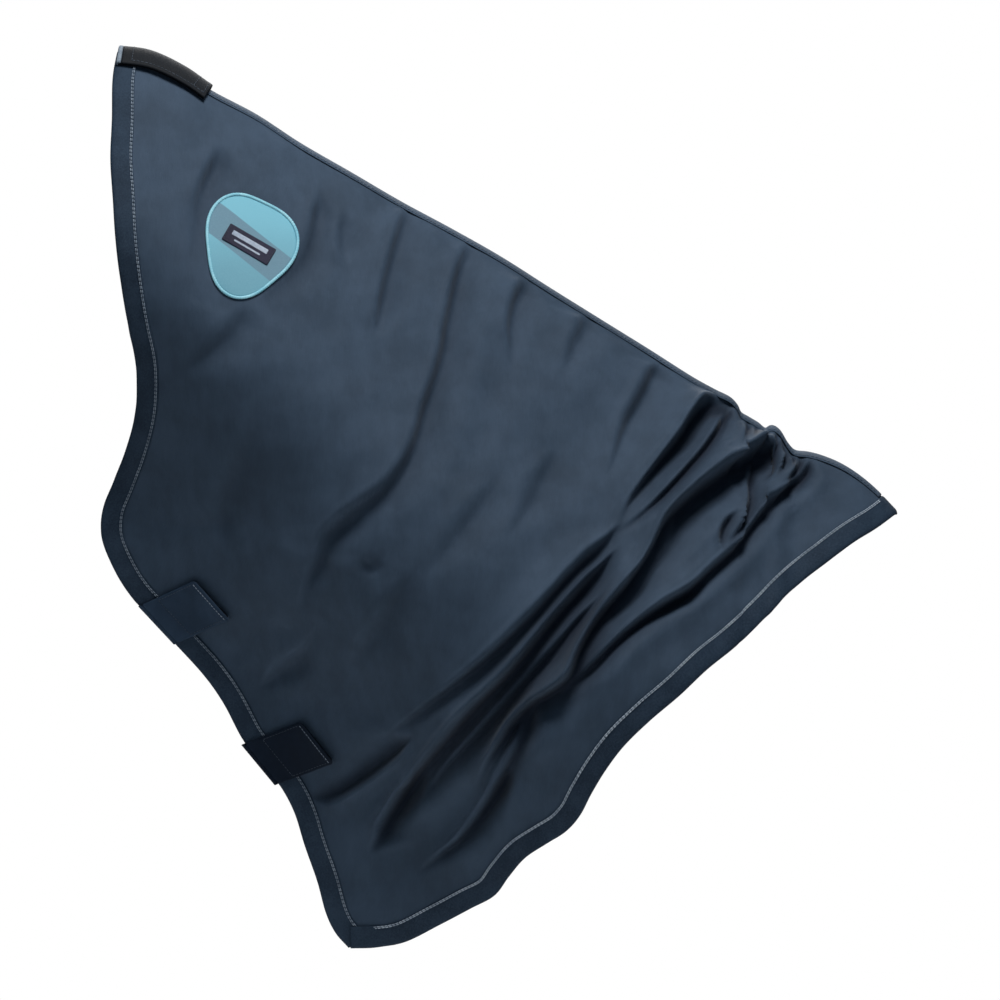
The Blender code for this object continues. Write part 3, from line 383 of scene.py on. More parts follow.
def loose_push(x, z, side):
    """All that lifts or sinks the cloth from the smooth neck."""
    push, _ = folds_at(x, z, side)
    for seed, *wave in WAVES:
        push += soft_waves(x, z, seed + side, *wave)
    calm = np.ones_like(x)
    if side == NEAR:
        from_badge = np.hypot(x - BADGE_CENTRE[0], z - BADGE_CENTRE[1])
        calm *= 0.25 + 0.75 * smooth(BADGE_RADIUS, 1.8 * BADGE_RADIUS, from_badge)
    for share in TAB_PLACES.values():
        fold, _, way = tab_frame(share)
        middle = fold + way * TAB_REACH / 2
        from_tab = np.hypot(x - middle[0], z - middle[1])
        calm *= smooth(0.62 * TAB_REACH, 1.25 * TAB_REACH, from_tab)
    calm *= smooth(0, 16 * MM, crest_depth(x, z))
    push *= calm
    away = from_clip(x, z)
    push += CLIP_BULGE * (1 - smooth(30 * MM, 120 * MM, away))
    room = np.maximum(0, half_width(x, z) - 8 * MM)
    push = np.maximum(push, -0.6 * room)
    held_out = 0.4 * MM - 40 * MM * smooth(24 * MM, 75 * MM, away)
    return np.maximum(push, held_out)


def on_cloth(points, lift, side, meet=0.3 * MM):
    """Points of the cloth's face over places in x and z, raised by lift.  No point crosses the
    middle plane."""
    points = np.asarray(points, float)
    flat = points.reshape(-1, 2)
    x, z = flat[:, 0], flat[:, 1]
    y = side * half_width(x, z)
    up = outward(x, y, z)
    height = (loose_push(x, z, side) + np.broadcast_to(lift, points.shape[:-1]).reshape(-1))
    spot = np.stack([x, y, z], axis=-1) + height[:, None] * up
    spot[:, 1] = side * np.maximum(side * spot[:, 1], meet)
    return spot.reshape(*points.shape[:-1], 3)


def up_from(points, side):
    """The outward directions over places in x and z."""
    flat = np.asarray(points, float).reshape(-1, 2)
    up = outward(flat[:, 0], side * half_width(flat[:, 0], flat[:, 1]), flat[:, 1])
    return up.reshape(*np.shape(points)[:-1], 3)


def over_crest(distance, y, lift):
    """Points astride the crest: distance along it, y from the middle plane, raised by lift."""
    distance, y, lift = np.broadcast_arrays(distance, y, lift)
    spot, way = at_lengths(CREST, distance), directions_at(CREST, distance, 10 * MM)
    down = np.stack([way[..., 1], -way[..., 0]], axis=-1)
    low, high = np.full(y.shape, -5 * MM), np.full(y.shape, 120 * MM)
    for _ in range(30):
        middle = (low + high) / 2
        place = spot + middle[..., None] * down
        wide = half_width_squared(place[..., 0], place[..., 1]) > y * y
        low, high = np.where(wide, low, middle), np.where(wide, middle, high)
    place = spot + middle[..., None] * down
    up = outward(place[..., 0].ravel(), y.ravel(), place[..., 1].ravel()).reshape(*y.shape, 3)
    return np.stack([place[..., 0], y, place[..., 1]], axis=-1) + lift[..., None] * up


# ---------------------------------------------------------------- meshes

def new_piece(name, mesh, material):
    piece = bpy.data.objects.new(name, mesh)
    bpy.context.scene.collection.objects.link(piece)
    if material:
        mesh.materials.append(material)
    return piece


def mesh_of(name, vertices, faces, uv=None, smooth_faces=True):
    mesh = bpy.data.meshes.new(name)
    mesh.from_pydata(vertices.tolist(), [], faces if isinstance(faces, list) else faces.tolist())
    if uv is not None:
        layer = mesh.uv_layers.new(name="UVMap")
        corner = np.empty(len(mesh.loops), np.int32)
        mesh.loops.foreach_get("vertex_index", corner)
        layer.data.foreach_set("uv", uv[corner].astype(np.float32).ravel())
    if smooth_faces:
        mesh.polygons.foreach_set("use_smooth", np.ones(len(mesh.polygons), bool))
    mesh.update()
    return mesh


def grid_faces(rows, columns, start=0, wrap=False):
    """Quads over a grid of rows x columns vertices.  wrap closes each row on itself."""
    i, j = np.meshgrid(np.arange(rows - 1), np.arange(columns if wrap else columns - 1),
                       indexing="ij")
    ahead = (j + 1) % columns
    return start + np.stack([i * columns + j, i * columns + ahead, (i + 1) * columns + ahead,
                             (i + 1) * columns + j], axis=-1).reshape(-1, 4)


def measured(grid):
    """A UV map in metres for a grid of points, along its two ways."""
    first = np.linalg.norm(np.diff(grid, axis=0), axis=-1)
    second = np.linalg.norm(np.diff(grid, axis=1), axis=-1)
    u = np.vstack([np.zeros((1, grid.shape[1])), np.cumsum(first, axis=0)])
    v = np.hstack([np.zeros((grid.shape[0], 1)), np.cumsum(second, axis=1)])
    return np.stack([u, v], axis=-1).reshape(-1, 2)


def slab(name, top, under, material):
    """A closed piece between two grids of points, its face and its back."""
    rows, columns = top.shape[:2]
    count = rows * columns
    face, back = grid_faces(rows, columns), grid_faces(rows, columns, count)[:, ::-1]
    rim = np.concatenate([np.arange(columns), np.arange(1, rows) * columns + columns - 1,
                          (rows - 1) * columns + np.arange(columns - 2, -1, -1),
                          np.arange(rows - 2, 0, -1) * columns])
    following = np.roll(rim, -1)
    side = np.stack([following, rim, rim + count, following + count], axis=-1)
    mesh_points = np.vstack([top.reshape(-1, 3), under.reshape(-1, 3)])
    uv = np.vstack([measured(top), measured(top)])
    faces = np.vstack([face, back, side])
    a, b, c = (top[rows // 2, columns // 2], top[rows // 2 + 1, columns // 2],
               top[rows // 2, columns // 2 + 1])
    lifted = a - under[rows // 2, columns // 2]
    if np.dot(np.cross(c - a, b - a), lifted) < 0:
        faces = faces[:, ::-1]
    return new_piece(name, mesh_of(name, mesh_points, faces, uv), material)


def tube(name, sections, material, uv=None):
    """A closed piece through rings of points, its ends filled."""
    rings, around = sections.shape[:2]
    faces = grid_faces(rings, around, wrap=True).tolist()
    faces += [list(range(around))[::-1], [(rings - 1) * around + k for k in range(around)]]
    mesh = mesh_of(name, sections.reshape(-1, 3), faces,
                   measured(sections) if uv is None else uv)
    piece = new_piece(name, mesh, material)
    face_outwards(piece)
    return piece


def face_outwards(piece):
    """Turns a closed piece's faces to point out of it."""
    mesh = piece.data
    mesh.calc_loop_triangles()
    points = np.array([v.co for v in mesh.vertices])
    corners = np.empty(len(mesh.loop_triangles) * 3, np.int32)
    mesh.loop_triangles.foreach_get("vertices", corners)
    a, b, c = points[corners.reshape(-1, 3)].transpose(1, 0, 2)
    if np.einsum("ij,ij->i", a, np.cross(b, c)).sum() < 0:
        mesh.flip_normals()


def sew(name, rows, material, pitch=4.4 * MM, length=3.6 * MM, thick=1.15 * MM):
    """Stitches along rows of (points, outward directions), each a short bowed bar of thread."""
    reach = np.array([-0.5, -0.44, -0.22, 0.22, 0.44, 0.5])
    swell = np.array([0.15, 0.7, 1, 1, 0.7, 0.15])
    turn = np.linspace(0, 2 * pi, 6, endpoint=False)
    along = np.repeat(reach, 6) * length
    across = np.outer(swell, np.cos(turn)).ravel() * thick / 2
    height = (np.outer(swell, np.sin(turn)).ravel() * thick / 2
              + np.repeat(0.42 * (1 - (2 * reach)**2), 6) * thick)
    bar = grid_faces(6, 6, wrap=True)
    caps = [[5, 4, 3, 2, 1, 0], [30, 31, 32, 33, 34, 35]]
    vertices, faces = [], []
    for points, ups in rows:
        run = lengths_along(points)
        where = np.arange(pitch / 2, run[-1], pitch)
        spots = at_lengths(points, where)
        up = unit(np.stack([np.interp(where, run, ups[:, k]) for k in range(3)], axis=-1))
        way = directions_at(points, where, length / 2)
        up = unit(up - (up * way).sum(-1, keepdims=True) * way)
        flank = np.cross(up, way)
        for spot, t, n, b in zip(spots, way, up, flank):
            start = len(vertices) * 36
            vertices.append(spot + along[:, None] * t + height[:, None] * n
                            + across[:, None] * b)
            faces += (bar + start).tolist() + [[k + start for k in cap] for cap in caps]
    mesh = mesh_of(name, np.vstack(vertices), faces)
    piece = new_piece(name, mesh, material)
    face_outwards(piece)
    return piece


def settle(piece, body, slot, *nodes):
    """Fixes a piece to a body of the model and hides the nodes it stands for.  slot is not used.
    """
    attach(piece, body)
    if nodes:
        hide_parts(*nodes)
    return piece


# ---------------------------------------------------------------- materials

class Thread:
    """One socket of a material.  Sums and products of threads add Math nodes."""

    def __init__(self, tree, socket=None):
        self.tree, self.socket = tree, socket

    def node(self, kind, settings, sockets, output=0):
        """Adds a node with its settings and socket values, and gives one of its outputs."""
        made = self.tree.nodes.new("ShaderNode" + kind)
        for key, value in settings.items():
            if key == "stops":
                ramp = made.color_ramp
                while len(ramp.elements) < len(value):
                    ramp.elements.new(0.5)
                for element, (place, colour) in zip(ramp.elements, value):
                    element.position, element.color = place, colour
            else:
                setattr(made, key, value)
        for key, value in sockets.items():
            if isinstance(value, Thread):
                self.tree.links.new(value.socket, made.inputs[key])
            else:
                made.inputs[key].default_value = value
        return Thread(self.tree, made.outputs[output])

    def maths(self, operation, *values):
        return self.node("Math", {"operation": operation}, dict(enumerate(values)))

    def __add__(self, other):
        return self.maths("ADD", self, other)

    def __sub__(self, other):
        return self.maths("SUBTRACT", self, other)

    def __rsub__(self, other):
        return self.maths("SUBTRACT", other, self)

    def __mul__(self, other):
        return self.maths("MULTIPLY", self, other)

    def __pow__(self, other):
        return self.maths("POWER", self, other)

    __radd__, __rmul__ = __add__, __mul__

    def sine(self):
        return self.maths("SINE", self)

    def size(self):
        return self.maths("ABSOLUTE", self)

    def step(self, low, high):
        """0 below low, 1 above high, and a smooth change between."""
        return self.node("MapRange", {"interpolation_type": "SMOOTHSTEP"},
                         {"Value": self, "From Min": low, "From Max": high})

    def noise(self, scale, detail=3.0, roughness=0.55):
        return self.node("TexNoise", {}, {"Vector": self, "Scale": scale, "Detail": detail,
                                          "Roughness": roughness})

    def stretched(self, x, y, z):
        """This place, its three ways multiplied."""
        return self.node("VectorMath", {"operation": "MULTIPLY"}, {0: self, 1: (x, y, z)})

    def blend(self, first, second):
        """A colour from first to second as this goes from 0 to 1."""
        return self.node("Mix", {"data_type": "RGBA"}, {0: self, 6: first, 7: second}, 2)

    def part(self, way):
        return self.node("SeparateXYZ", {}, {0: self}, way)

    def cloth_map(self):
        """The place on the piece's own map of its cloth, in metres."""
        return self.node("TexCoord", {}, {}, 2)


def shade(name, fixed):
    """A new material with a plain surface shader.  Gives it, its places in the object, and a
    function that joins threads to the shader."""
    material = bpy.data.materials.new(name)
    material.use_nodes = True
    tree = material.node_tree
    shader = tree.nodes["Principled BSDF"]
    for key, value in fixed.items():
        shader.inputs[key].default_value = value
    place = Thread(tree).node("TexCoord", {}, {}, 3)

    def join(colour, roughness=None, height=None, depth=0.3 * MM, strength=0.6):
        tree.links.new(colour.socket, shader.inputs["Base Color"])
        if roughness:
            tree.links.new(roughness.socket, shader.inputs["Roughness"])
        if height:
            bump = height.node("Bump", {}, {"Height": height, "Distance": depth,
                                            "Strength": strength})
            tree.links.new(bump.socket, shader.inputs["Normal"])
    return material, place, join


def tone(red, green, blue):
    """A colour from its screen values, 0 to 255."""
    return tuple(((v / 255 + 0.055) / 1.055)**2.4 if v > 10 else v / 255 / 12.92
                 for v in (red, green, blue)) + (1.0,)


def woven(name, dark, light, thread, gloss, creases, rough=(0.62, 0.78), sheen=0.0, painted_fold_shade=None):
    """Plain-woven cloth: threads that pass over and under, faint creases and uneven dye.  The
    colour given last is painted shade, laid into the hollows of the folds by the crease attribute."""
    material, place, join = shade(name, {"Specular IOR Level": gloss, "Sheen Weight": sheen})
    cloth = place.cloth_map()
    u, v = (cloth.part(k) * (pi / thread) for k in (0, 1))
    over = ((u.sine() * v.sine()) * 3).step(-1, 1)
    weave = over * u.sine().size() + (1 - over) * v.sine().size()
    mottle = place.noise(14, 4, 0.6)
    streak = place.stretched(1, 1, 0.35).noise(55, 3, 0.6)
    slub = cloth.stretched(1, 0.08, 1).noise(900, 2)
    crease = place.stretched(1.0, 0.5, 0.55).noise(30, 5, 0.62)
    wear = (mottle * 0.55 + streak * 0.3 + slub * 0.15).step(0.30, 0.70)
    colour = wear.blend(tone(*dark), tone(*light))
    # Painted shade: the colour is blended towards a near-black navy where the crease attribute
    # marks the shelter of a fold
    if painted_fold_shade:
        painted_shade = place.node("Attribute", {"attribute_name": "crease"}, {}, 2)
        colour = (painted_shade * 0.92).blend(colour, tone(*painted_fold_shade))
    roughness = mottle * (rough[1] - rough[0]) + rough[0]
    join(colour, roughness, weave * 0.10 + crease * (1.5 * creases) + streak * 0.25, 1.6 * MM,
         0.5)
    return material


def make_materials():
    """All the finishes, by name.  The numbers are screen colours, then the pitch of threads or
    ribs, and how dull or glossy it is."""
    return {
        # The outer cloth's last colour, (2, 15, 33), is painted shade for the hollows of its folds
        "outer": woven("Navy outer cloth", (43, 58, 74), (58, 74, 92), 0.62 * MM, 0.2, 1.0,
                       sheen=0.06, painted_fold_shade=(2, 15, 33)),
        "lining": woven("Dark lining cloth", (28, 35, 45), (38, 46, 58), 0.4 * MM, 0.4, 0.6,
                        (0.42, 0.55)),
        "tab": woven("Tab cloth", (29, 46, 64), (43, 61, 81), 0.8 * MM, 0.2, 0.5),
        "dark_tab": woven("Dark tab cloth", (5, 17, 31), (11, 25, 41), 0.8 * MM, 0.15, 0.5),
        "binding": ribbed("Binding tape", (28, 42, 57), (43, 58, 74), 1.3 * MM, 0.72, 0.16),
        "webbing": ribbed("Black webbing", (1, 4, 9), (6, 12, 20), 1.7 * MM, 0.7, 0.25),
        "pale_end": ribbed("Pale turned webbing", (92, 104, 116), (132, 143, 153), 1.7 * MM, 0.7,
                           0.25),
        "elastic": ribbed("Black elastic", (10, 13, 18), (22, 26, 33), 2.2 * MM, 0.8, 0.2),
        "label": ribbed("Label weave", (26, 24, 44), (40, 38, 60), 0.5 * MM, 0.55, 0.35),
        "label_bar": ribbed("Label bars", (146, 158, 176), (180, 190, 204), 0.5 * MM, 0.5, 0.3),
        "thread": thread_finish("Grey thread", (104, 117, 132), (134, 146, 159)),
        "pale_thread": thread_finish("Pale thread", (150, 163, 178), (186, 197, 209)),
        "navy_thread": thread_finish("Navy thread", (36, 47, 60), (58, 70, 84)),
        "rim": thread_finish("Badge rim thread", (116, 180, 197), (148, 202, 214)),
        "loops": pile("Loop tape", (5, 9, 15), (20, 26, 35), 1500, 0.9),
        "hooks": pile("Hook tape", (6, 9, 13), (18, 22, 28), 2600, 0.55),
        "badge": badge_finish(),
        "zinc": zinc_finish(),
        "strap": strap_finish()}


def ribbed(name, dark, light, rib, rough, gloss):
    """Tape woven in ribs across its length, with a fine twill between them."""
    material, place, join = shade(name, {"Specular IOR Level": gloss})
    cloth = place.cloth_map()
    u, v = cloth.part(0) * (2 * pi / rib), cloth.part(1) * (2 * pi / (0.8 * rib))
    ribs = u.sine() * 0.5 + 0.5
    twill = (u * 1.7 + v).sine() * 0.5 + 0.5
    fuzz = place.noise(620, 3)
    patch = place.noise(28, 3)
    colour = (patch * 0.5 + fuzz * 0.5).step(0.35, 0.65).blend(tone(*dark), tone(*light))
    join(colour, patch * 0.14 + (rough - 0.07), ribs * 0.55 + twill * 0.2 + fuzz * 0.5,
         0.35 * MM, 0.7)
    return material


def thread_finish(name, dark, light):
    """Twisted sewing thread."""
    material, place, join = shade(name, {"Specular IOR Level": 0.45})
    twist = place.stretched(1, 1, 1.6).noise(1500, 2)
    colour = (place.noise(60, 2) * 0.6 + twist * 0.4).step(0.38, 0.62).blend(tone(*dark),
                                                                            tone(*light))
    join(colour, twist * 0.2 + 0.45, twist, 0.2 * MM, 0.5)
    return material


def pile(name, dark, light, scale, rough):
    """Touch tape: a bed of hooks or loops."""
    material, place, join = shade(name, {"Specular IOR Level": 0.2})
    tufts = place.node("TexVoronoi", {}, {"Vector": place, "Scale": scale})
    fuzz = place.noise(scale * 0.6, 4)
    join((tufts * 0.8 + fuzz * 0.3).step(0.1, 0.8).blend(tone(*light), tone(*dark)),
         fuzz * 0.1 + rough, (1 - tufts) * 0.7 + fuzz * 0.4, 0.8 * MM, 0.9)
    return material


def badge_finish():
    """Teal stitched cloth with one darker band across it."""
    material, place, join = shade("Badge cloth", {"Specular IOR Level": 0.4,
                                                  "Sheen Weight": 0.2})
    cloth = place.cloth_map()
    across, up = cloth.part(0), cloth.part(1)
    band = (across * 0.62 + up * 0.78).size().step(15.5 * MM, 16.3 * MM)
    rows = (across * 0.5 - up * 0.87) * (2 * pi / (0.9 * MM))
    satin = rows.sine() * 0.5 + 0.5
    fuzz = place.noise(900, 3)
    fade = up.step(-0.04, 0.04)
    plain = fade.blend(tone(86, 146, 164), tone(102, 172, 190))
    colour = band.blend(tone(80, 118, 137), plain)
    worn = (fuzz * 0.7 + satin * 0.3).step(0.3, 0.7) * 0.16
    join(worn.blend(colour, tone(150, 200, 212)), fuzz * 0.2 + 0.45,
         satin * 0.6 + fuzz * 0.5, 0.3 * MM, 0.6)
    return material


def zinc_finish():
    """Cast and plated zinc, lightly brushed."""
    material, place, join = shade("Plated zinc", {"Metallic": 1.0})
    scratch = place.stretched(1, 1, 9).noise(420, 4, 0.6)
    pits = place.noise(160, 3)
    colour = (scratch * 0.6 + pits * 0.4).step(0.3, 0.7).blend(tone(176, 178, 180),
                                                              tone(206, 208, 210))
    join(colour, scratch * 0.22 + 0.20, scratch * 0.4 + pits * 0.6, 0.15 * MM, 0.35)
    return material


def strap_finish():
    """Black webbing for a piece with no cloth map of its own."""
    material, place, join = shade("Clip webbing", {"Specular IOR Level": 0.25})
    ribs = (place.part(2) * (2 * pi / (1.7 * MM))).sine() * 0.5 + 0.5
    fuzz = place.noise(620, 3)
    colour = (ribs * 0.4 + fuzz * 0.6).step(0.3, 0.7).blend(tone(4, 9, 16), tone(16, 23, 33))
    join(colour, fuzz * 0.15 + 0.62, ribs * 0.6 + fuzz * 0.5, 0.35 * MM, 0.7)
    return material


# ---------------------------------------------------------------- cloth sides and linings

def side_grid(columns, rows):
    """Places of the side's cloth in x and z, columns from front to rear and rows down from the
    crest, closer together where the cloth is gathered and at the crest."""
    across = np.linspace(0, 1, columns + 1)
    gathered = 1 + 1.7 * smooth(0.62, 0.8, across)
    u = np.concatenate([[0], np.cumsum((gathered[1:] + gathered[:-1]) / 2)])
    u = np.interp(across, u / u[-1], across)
    down = np.linspace(0, 1, rows + 1)
    crest_rows, crest_share = 0.12, 0.06
    v = np.where(down < crest_rows, crest_share * (down / crest_rows)**2,
                 crest_share + (1 - crest_share) * (down - crest_rows) / (1 - crest_rows))
    coarse = 36
    even = np.linspace(0, 1, coarse + 1)
    plain = patch_between_edges(even, even)
    settled = plain.copy()
    for _ in range(600):
        settled[1:-1, 1:-1] = (settled[:-2, 1:-1] + settled[2:, 1:-1] + settled[1:-1, :-2]
                               + settled[1:-1, 2:]) / 4
    moved = settled - plain
    i, j = (np.clip(k * coarse, 0, coarse - 1e-6).astype(int) for k in (u, v))
    s, t = ((np.clip(k * coarse, 0, coarse - 1e-6) - n) for k, n in ((u, i), (v, j)))
    s, t = (smooth(0, 1, k) for k in (s[:, None, None], t[None, :, None]))
    corner = lambda a, b: moved[np.ix_(i + a, j + b)]
    shift = ((1 - s) * (1 - t) * corner(0, 0) + s * (1 - t) * corner(1, 0)
             + (1 - s) * t * corner(0, 1) + s * t * corner(1, 1))
    return patch_between_edges(u, v) + shift


def patch_between_edges(u, v):
    """Places blended between the four edges of the cut."""
    crest = at_lengths(CREST, u * CREST_LENGTH)[:, None]
    under = at_lengths(UNDER, u * UNDER_LENGTH)[:, None]
    front = at_lengths(FRONT, v * lengths_along(FRONT)[-1])[None]
    rear = at_lengths(REAR, v * lengths_along(REAR)[-1])[None]
    u, v = u[:, None, None], v[None, :, None]
    return ((1 - v) * crest + v * under + (1 - u) * front + u * rear - (1 - u) * (1 - v) * POLL
            - u * (1 - v) * WITHERS - (1 - u) * v * THROAT - u * v * CHEST)


def solidify(piece, thickness):
    """Gives a sheet its thickness, inwards, and makes it real."""
    wall = piece.modifiers.new("Thickness", "SOLIDIFY")
    wall.thickness, wall.offset = thickness, -1
    bpy.ops.object.select_all(action="DESELECT")
    bpy.context.view_layer.objects.active = piece
    piece.select_set(True)
    bpy.ops.object.modifier_apply(modifier=wall.name)


def cloth_side(name, side, lift, thickness, grid, material):
    places = on_cloth(grid, lift, side)
    faces = grid_faces(*grid.shape[:2])
    if side == OFF:
        faces = faces[:, ::-1]
    mesh = mesh_of(name, places.reshape(-1, 3), faces, measured(places))
    x, z = grid.reshape(-1, 2).T
    # The crease attribute carries painted shade: how far the cloth's colour is darkened in the
    # shelter of each fold
    crease = mesh.attributes.new("crease", "FLOAT", "POINT")
    crease.data.foreach_set("value", folds_at(x, z, side)[1].astype(np.float32))
    piece = new_piece(name, mesh, material)
    solidify(piece, thickness)
    return piece


def make_sides(finish):
    grid = side_grid(300, 148)
    pieces = {}
    for side, word in SIDES.items():
        outer = cloth_side(f"{word}_outer_cloth", side, 0.0, OUTER_THICKNESS, grid,
                           finish["outer"])
        settle(outer, "cover", "outer_cloth", f"{word}_side_outer")
        lining = cloth_side(f"{word}_lining_cloth", side, -(OUTER_THICKNESS + LAYER_GAP),
                            LINING_THICKNESS, grid, finish["lining"])
        settle(lining, "cover", "lining_cloth", f"{word}_side_lining")
        pieces[word] = outer, lining
    return pieces


# ---------------------------------------------------------------- bindings and edge stitching

# The folded tape in section: distance in from the cloth's edge, and height off its face
BINDING_SECTION = np.array([
    (22.0, 0.15), (22.0, 0.75), (21.5, 1.15), (20.6, 1.10), (19.4, 1.45), (16, 1.60),
    (11, 1.65), (6, 1.65), (2.5, 1.5), (0.5, 1.0), (-0.8, 0.1), (-1.3, -1.2), (-0.8, -2.5),
    (0.5, -3.4), (2.5, -3.7), (11, -3.8), (20, -3.6), (20.6, -3.2), (20.2, -2.8), (11, -2.7),
    (1.4, -2.7), (0.5, -1.2), (1.4, 0.2), (11, 0.2)]) * MM


def inward_ways(line, where, start_along, interior):
    """Directions from an edge into the cloth.  The first follow the crest, where the two sides'
    tapes meet."""
    way = directions_at(line, where, 12 * MM)
    square = np.stack([-way[:, 1], way[:, 0]], axis=-1)
    spots = at_lengths(line, where)
    turned = np.einsum("ij,ij->i", square, interior - spots) < 0
    square[turned] *= -1
    gone = np.linalg.norm(spots - spots[0], axis=1)
    share = smooth(0, 80 * MM, gone)[:, None]
    ways = (1 - share) * start_along + share * square
    return spots, ways / np.einsum("ij,ij->i", ways, square)[:, None]


def bind_edge(name, line, side, start_along, end_short, rides_over, finish, thread, seed):
    """Tape folded over an edge, slightly puckered by its stitches, and the stitches."""
    total = lengths_along(line)[-1] - end_short
    where = np.linspace(0, total, int(total / (2.1 * MM)))
    interior = (POLL + THROAT + CHEST + WITHERS) / 4
    spots, ways = inward_ways(line, where, start_along, interior)
    inset, height = BINDING_SECTION.T
    draw = np.random.RandomState(seed)
    pucker = np.sin(2 * pi * where / (4.2 * MM) + draw.normal(size=len(where)) * 0.5) * 0.10
    knots = np.arange(0, total + 30 * MM, 17 * MM)
    slack = np.interp(where, knots, draw.normal(size=len(knots))) * 0.22
    outer_face = (height > 0.5 * MM) & (inset > 0)
    over = rides_over * smooth(34 * MM, 22 * MM, total - where)[:, None]
    off_middle = np.clip((height + 1.2 * MM) / (1.0 * MM), -1, 1)
    lift = (height + (pucker + slack)[:, None] * MM * outer_face
            * np.sin(pi * np.clip(inset / BINDING_WIDTH, 0, 1)) + over * off_middle)
    sections = on_cloth(spots[:, None] + ways[:, None] * inset[:, None], lift, side)
    tape = tube(name, sections, finish["binding"])
    rows = []
    for row_inset in (STITCH_INSET, STITCH_INSET - TWIN_ROWS):
        seam = (spots + ways * row_inset)[3:-3]
        rows.append((on_cloth(seam, 1.65 * MM, side), up_from(seam, side)))
    stitching = sew(name.replace("binding", "stitching"), rows, thread, length=3.9 * MM,
                    thick=1.0 * MM)
    return tape, stitching


def make_bindings(finish):
    front_line = rounded(np.array(FRONT_CUT + UNDER_CUT[1:]) * MM)
    from_poll = directions_at(CREST, np.array([0.0]), 8 * MM)[0]
    from_withers = -directions_at(CREST, np.array([CREST_LENGTH]), 8 * MM)[0]
    pieces = {}
    for side, word in SIDES.items():
        pieces[word] = []
        for end, *edge in (
                ("front", front_line, side, from_poll, 0.0, 0.0, finish, finish["thread"], 5),
                ("rear", REAR, side, from_withers, 1 * MM, 1.9 * MM, finish,
                 finish["pale_thread"], 9)):
            tape, stitching = bind_edge(f"{word}_{end}_edge_binding", *edge)
            settle(tape, "cover", "binding_tape", f"{word}_{end}_binding")
            settle(stitching, "cover", "binding_tape")
            pieces[word] += [tape, stitching]
    return pieces


# ---------------------------------------------------------------- crest and poll strap

def round_margin_at(margin):
    """How full a strip or patch is, from its distance in from its edge in margin widths."""
    return np.sqrt(np.clip(1 - (1 - np.clip(margin, 0, 1))**2, 0.12, 1))


def seam_row(along, y, lift, foot=0.0):
    """A row for stitches over the crest: its points, and the way up at each."""
    points = over_crest(along, y, lift)
    return points, unit(points - over_crest(along, y, foot))


def crest_slab(name, start, end, half_wide, lift, thick, material, steps):
    """A strip astride the crest with softly rounded margins."""
    along = np.linspace(start, end, steps)[:, None]
    share = np.linspace(-1, 1, 25)
    share = (share + 0.12 * np.sin(pi * share))[None]
    margin = np.minimum((1 - np.abs(share)) * half_wide,
                        np.minimum(along - start, end - along)) / (1.1 * MM)
    full = round_margin_at(margin)
    middle = lift + thick / 2
    top = over_crest(along, share * half_wide, middle + full * thick / 2)
    under = over_crest(along, share * half_wide, middle - full * thick / 2)
    return slab(name, top, under, material)


def make_crest(finish):
    start, end = 24 * MM, CREST_LENGTH - 24 * MM
    tape = crest_slab("crest_seam_cloth", start, end, CREST_TAPE_HALF_WIDTH, 0.6 * MM, 0.8 * MM,
                      finish["outer"], 420)
    settle(tape, "cover", "binding_tape", "crest_seam_tape")
    along = np.linspace(start + 6 * MM, end - 6 * MM, 500)
    rows = [seam_row(along, side * (CREST_TAPE_HALF_WIDTH - 2.4 * MM), 1.35 * MM, 0.35 * MM)
            for side in (NEAR, OFF)]
    seam = sew("crest_seam_stitching", rows, finish["navy_thread"], thick=0.7 * MM)
    settle(seam, "cover", "binding_tape")
    elastic = crest_slab("gathering_elastic", ELASTIC_START * CREST_LENGTH,
                         ELASTIC_END * CREST_LENGTH, ELASTIC_HALF_WIDTH,
                         INNER_LEVEL - LAYER_GAP - ELASTIC_THICKNESS, ELASTIC_THICKNESS,
                         finish["elastic"], 80)
    settle(elastic, "cover", "elastic", "withers_elastic")
    return [tape, seam]


